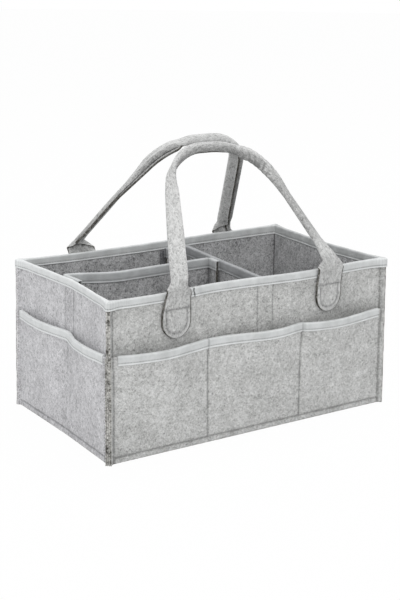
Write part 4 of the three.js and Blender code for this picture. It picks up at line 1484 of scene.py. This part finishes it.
sewn_rows = (TAPE_ROW, rim_points.shape[1] // 2 - 1 - TAPE_ROW)
shell_lines = [np.concatenate([rim_points[:, k], rim_points[:1, k]]) for k in sewn_rows]
for sheet in pockets.values():
    z = POCKET_TAPE_FOOT + STITCH_UP
    reach = pocket_tape_reach(sheet, z) - 1
    t = np.linspace(-reach, reach, 160)
    inner = sheet.inner(t, z)
    shell_lines.append(sheet.side.face(t, inner + sheet.thick + STITCH_OFF, z))
    shell_lines.append(sheet.side.face(t, inner - STITCH_OFF, z))
    shell_lines.append(sheet.stitched(np.linspace(-1, 1, 120) * (sheet.side.run(0) - 1), BASE_SEAM))
z = np.linspace(BASE_SEAM + 2, POCKET_TAPE_FOOT - 1, 60)
for name in ("front", "back"):
    for seam in (-POCKET_SEAM, POCKET_SEAM):
        shell_lines += [pockets[name].stitched(seam, z), sides[name].face(seam, -STITCH_LIFT, z)]
z = np.linspace(STRIP_FOOT + 2, STRIP_TOP - 2, 40)
for name, centre in LOOP_STRIPS.items():
    for t in (centre - STRIP_LINE, centre + STRIP_LINE):
        on_strip = sides[name].face(t, -SEAT - STRIP - STITCH_LIFT, z)
        shell_lines += [walls[name].stitched(t, z), on_strip]
for side in sides.values():
    for end in (-1, 1):
        for stack, z in ((WALL_STACK, np.linspace(3, POCKET_HEIGHT - 3, 50)),
                         (WALL_FELT, np.linspace(POCKET_HEIGHT + 2, RIM_TAPE_FOOT - 2, 30))):
            shell_lines.append(side.fin(end, FIN_LINE, stack + SEAT / 2 + STITCH_LIFT, z))
print(len(shell_lines), "lines of the shell so far")

# %% Lines on the tabs
upright = [(TAB_ROUND, z) for z in np.linspace(TAB_LINE, TAB_MIDDLE, 12)]
turns = np.linspace(0, math.pi, 24)[1:-1]
around_tab = [(-x, z) for x, z in upright]
around_tab += [(-TAB_ROUND * math.cos(a), TAB_MIDDLE - TAB_ROUND * math.sin(a)) for a in turns]
around_tab += upright[::-1]
across_tab = [(x, TAB_LINE) for x in np.linspace(1 - TAB_WIDTH / 2, TAB_WIDTH / 2 - 1, 20)]
skin = -HANDLE_FELT / 2 - STITCH_LIFT
for handle in handles.values():
    for leg in (0, 1):
        for path in (around_tab, across_tab):
            points = [handle.on_wall(leg, x, skin, z - HINGE_HEIGHT) for x, z in path]
            shell_lines.append(np.stack(points))
print(len(shell_lines), "lines of the shell")

# %% Lines on the divider
divider_lines = {}
for name, band in bands.items():
    z = np.full(2, DIVIDER_TOP - TAPE_DEPTH + STITCH_UP)
    both = raised(name, band.points(np.array([-1, 1]) * (DIVIDER_HALF + STITCH_OFF), z))
    divider_lines[name] = [both[:, 0], both[:, 1]]
print({name: len(lines) for name, lines in divider_lines.items()})


# %% Sew
def sew(body, lines, seed):
    name = f"{body}_stitches"
    curve = bpy.data.curves.new(f"{name}_lines", "CURVE")
    curve.dimensions = "3D"
    for points in lines:
        spline = curve.splines.new("POLY")
        spline.points.add(len(points) - 1)
        flat = np.column_stack([points * MM, np.ones(len(points))])
        spline.points.foreach_set("co", flat.astype(np.float32).ravel())
    guide = link(bpy.data.objects.new(f"{name}_lines", curve))
    modifier = guide.modifiers.new("stitches", "NODES")
    modifier.node_group = tree_of_stitches
    sockets = tree_of_stitches.interface.items_tree
    inputs = {i.name: i.identifier for i in sockets if i.in_out == "INPUT"}
    modifier[inputs["Seed"]] = seed
    modifier[inputs["Thread"]] = thread
    bpy.context.view_layer.update()
    graph = bpy.context.evaluated_depsgraph_get()
    mesh = bpy.data.meshes.new_from_object(guide.evaluated_get(graph))
    bpy.data.objects.remove(guide)
    mesh.name = name
    mesh.materials.clear()
    mesh.materials.append(thread)
    mesh.polygons.foreach_set("material_index", np.zeros(len(mesh.polygons), dtype=np.int32))
    mesh.shade_smooth()
    stitches = link(bpy.data.objects.new(name, mesh))
    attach(stitches, body)
    print(name, len(mesh.polygons), "faces")


for k, (body, lines) in enumerate([("shell", shell_lines), *divider_lines.items()]):
    sew(body, lines, SEED + k)

# %% [markdown]
# ## Floor, light and background
# The picture was taken in a white studio. The world lights from all sides, a little more from
# above, one large soft lamp stands high in front, and the floor shows white to the camera but
# keeps the shadow that the caddy casts.

# %% Floor
FLOOR_RADIUS = 12
FLOOR_GLOW = 0.975


def floor_material():
    material, shader, coords = new_material("floor", Specular_IOR_Level=0.0)
    shade = noise(coords, 3, 2, 0.5)
    plug(mixed(shade, (0.80, 0.80, 0.80), (0.84, 0.84, 0.84)), shader, "Base Color")
    plug(0.9 - shade * 0.05, shader, "Roughness")
    glow = coords.node("Emission", {"Strength": 1.0})
    seen = coords.node("LightPath", {}, "Is Camera Ray") * FLOOR_GLOW
    joined = coords.node("MixShader", {0: seen, 1: Wire(coords.tree, shader.outputs[0]), 2: glow})
    plug(joined, coords.tree.nodes["Material Output"], "Surface")
    return material


floor_mesh = bpy.data.meshes.new("floor")
turns = np.linspace(0, 2 * np.pi, 48, endpoint=False)
corners = [(FLOOR_RADIUS * math.cos(a), FLOOR_RADIUS * math.sin(a), 0) for a in turns]
floor_mesh.from_pydata(corners, [], [list(range(len(corners)))])
floor_mesh.materials.append(floor_material())
floor = link(bpy.data.objects.new("floor", floor_mesh))
print("floor reaches", FLOOR_RADIUS, "m")


# %% World and lamps
LAMPS_AIM = Vector((0, 0, 0.1))


def studio_world(light, strength):
    world = bpy.data.worlds.new("studio")
    world.use_nodes = True
    start = Wire(world.node_tree)
    seen, glossy, through = (start.node("LightPath", {}, f"Is {kind} Ray")
                             for kind in ("Camera", "Glossy", "Transmission"))
    white = start.maths("MAXIMUM", start.maths("MAXIMUM", seen, glossy), through)
    background = world.node_tree.nodes["Background"]
    plug(mixed(white, light, (1, 1, 1)), background, "Color")
    plug(white * (1 - strength) + strength, background, "Strength")
    bpy.context.scene.world = world


def soft_lamp(name, place, size, power):
    lamp = bpy.data.lights.new(name, "AREA")
    lamp.shape, lamp.size, lamp.energy = "DISK", size, power
    obj = link(bpy.data.objects.new(name, lamp))
    obj.location = place
    obj.rotation_euler = (LAMPS_AIM - Vector(place)).to_track_quat("-Z", "Y").to_euler()
    obj.visible_camera = False


studio_world((0.98, 0.99, 1.0), 0.62)
soft_lamp("front_lamp", (-1.6, -2.4, 2.2), 1.8, 42)
soft_lamp("top_lamp", (0.6, 0.4, 2.8), 2.0, 30)
bpy.context.scene.view_settings.view_transform = "Standard"
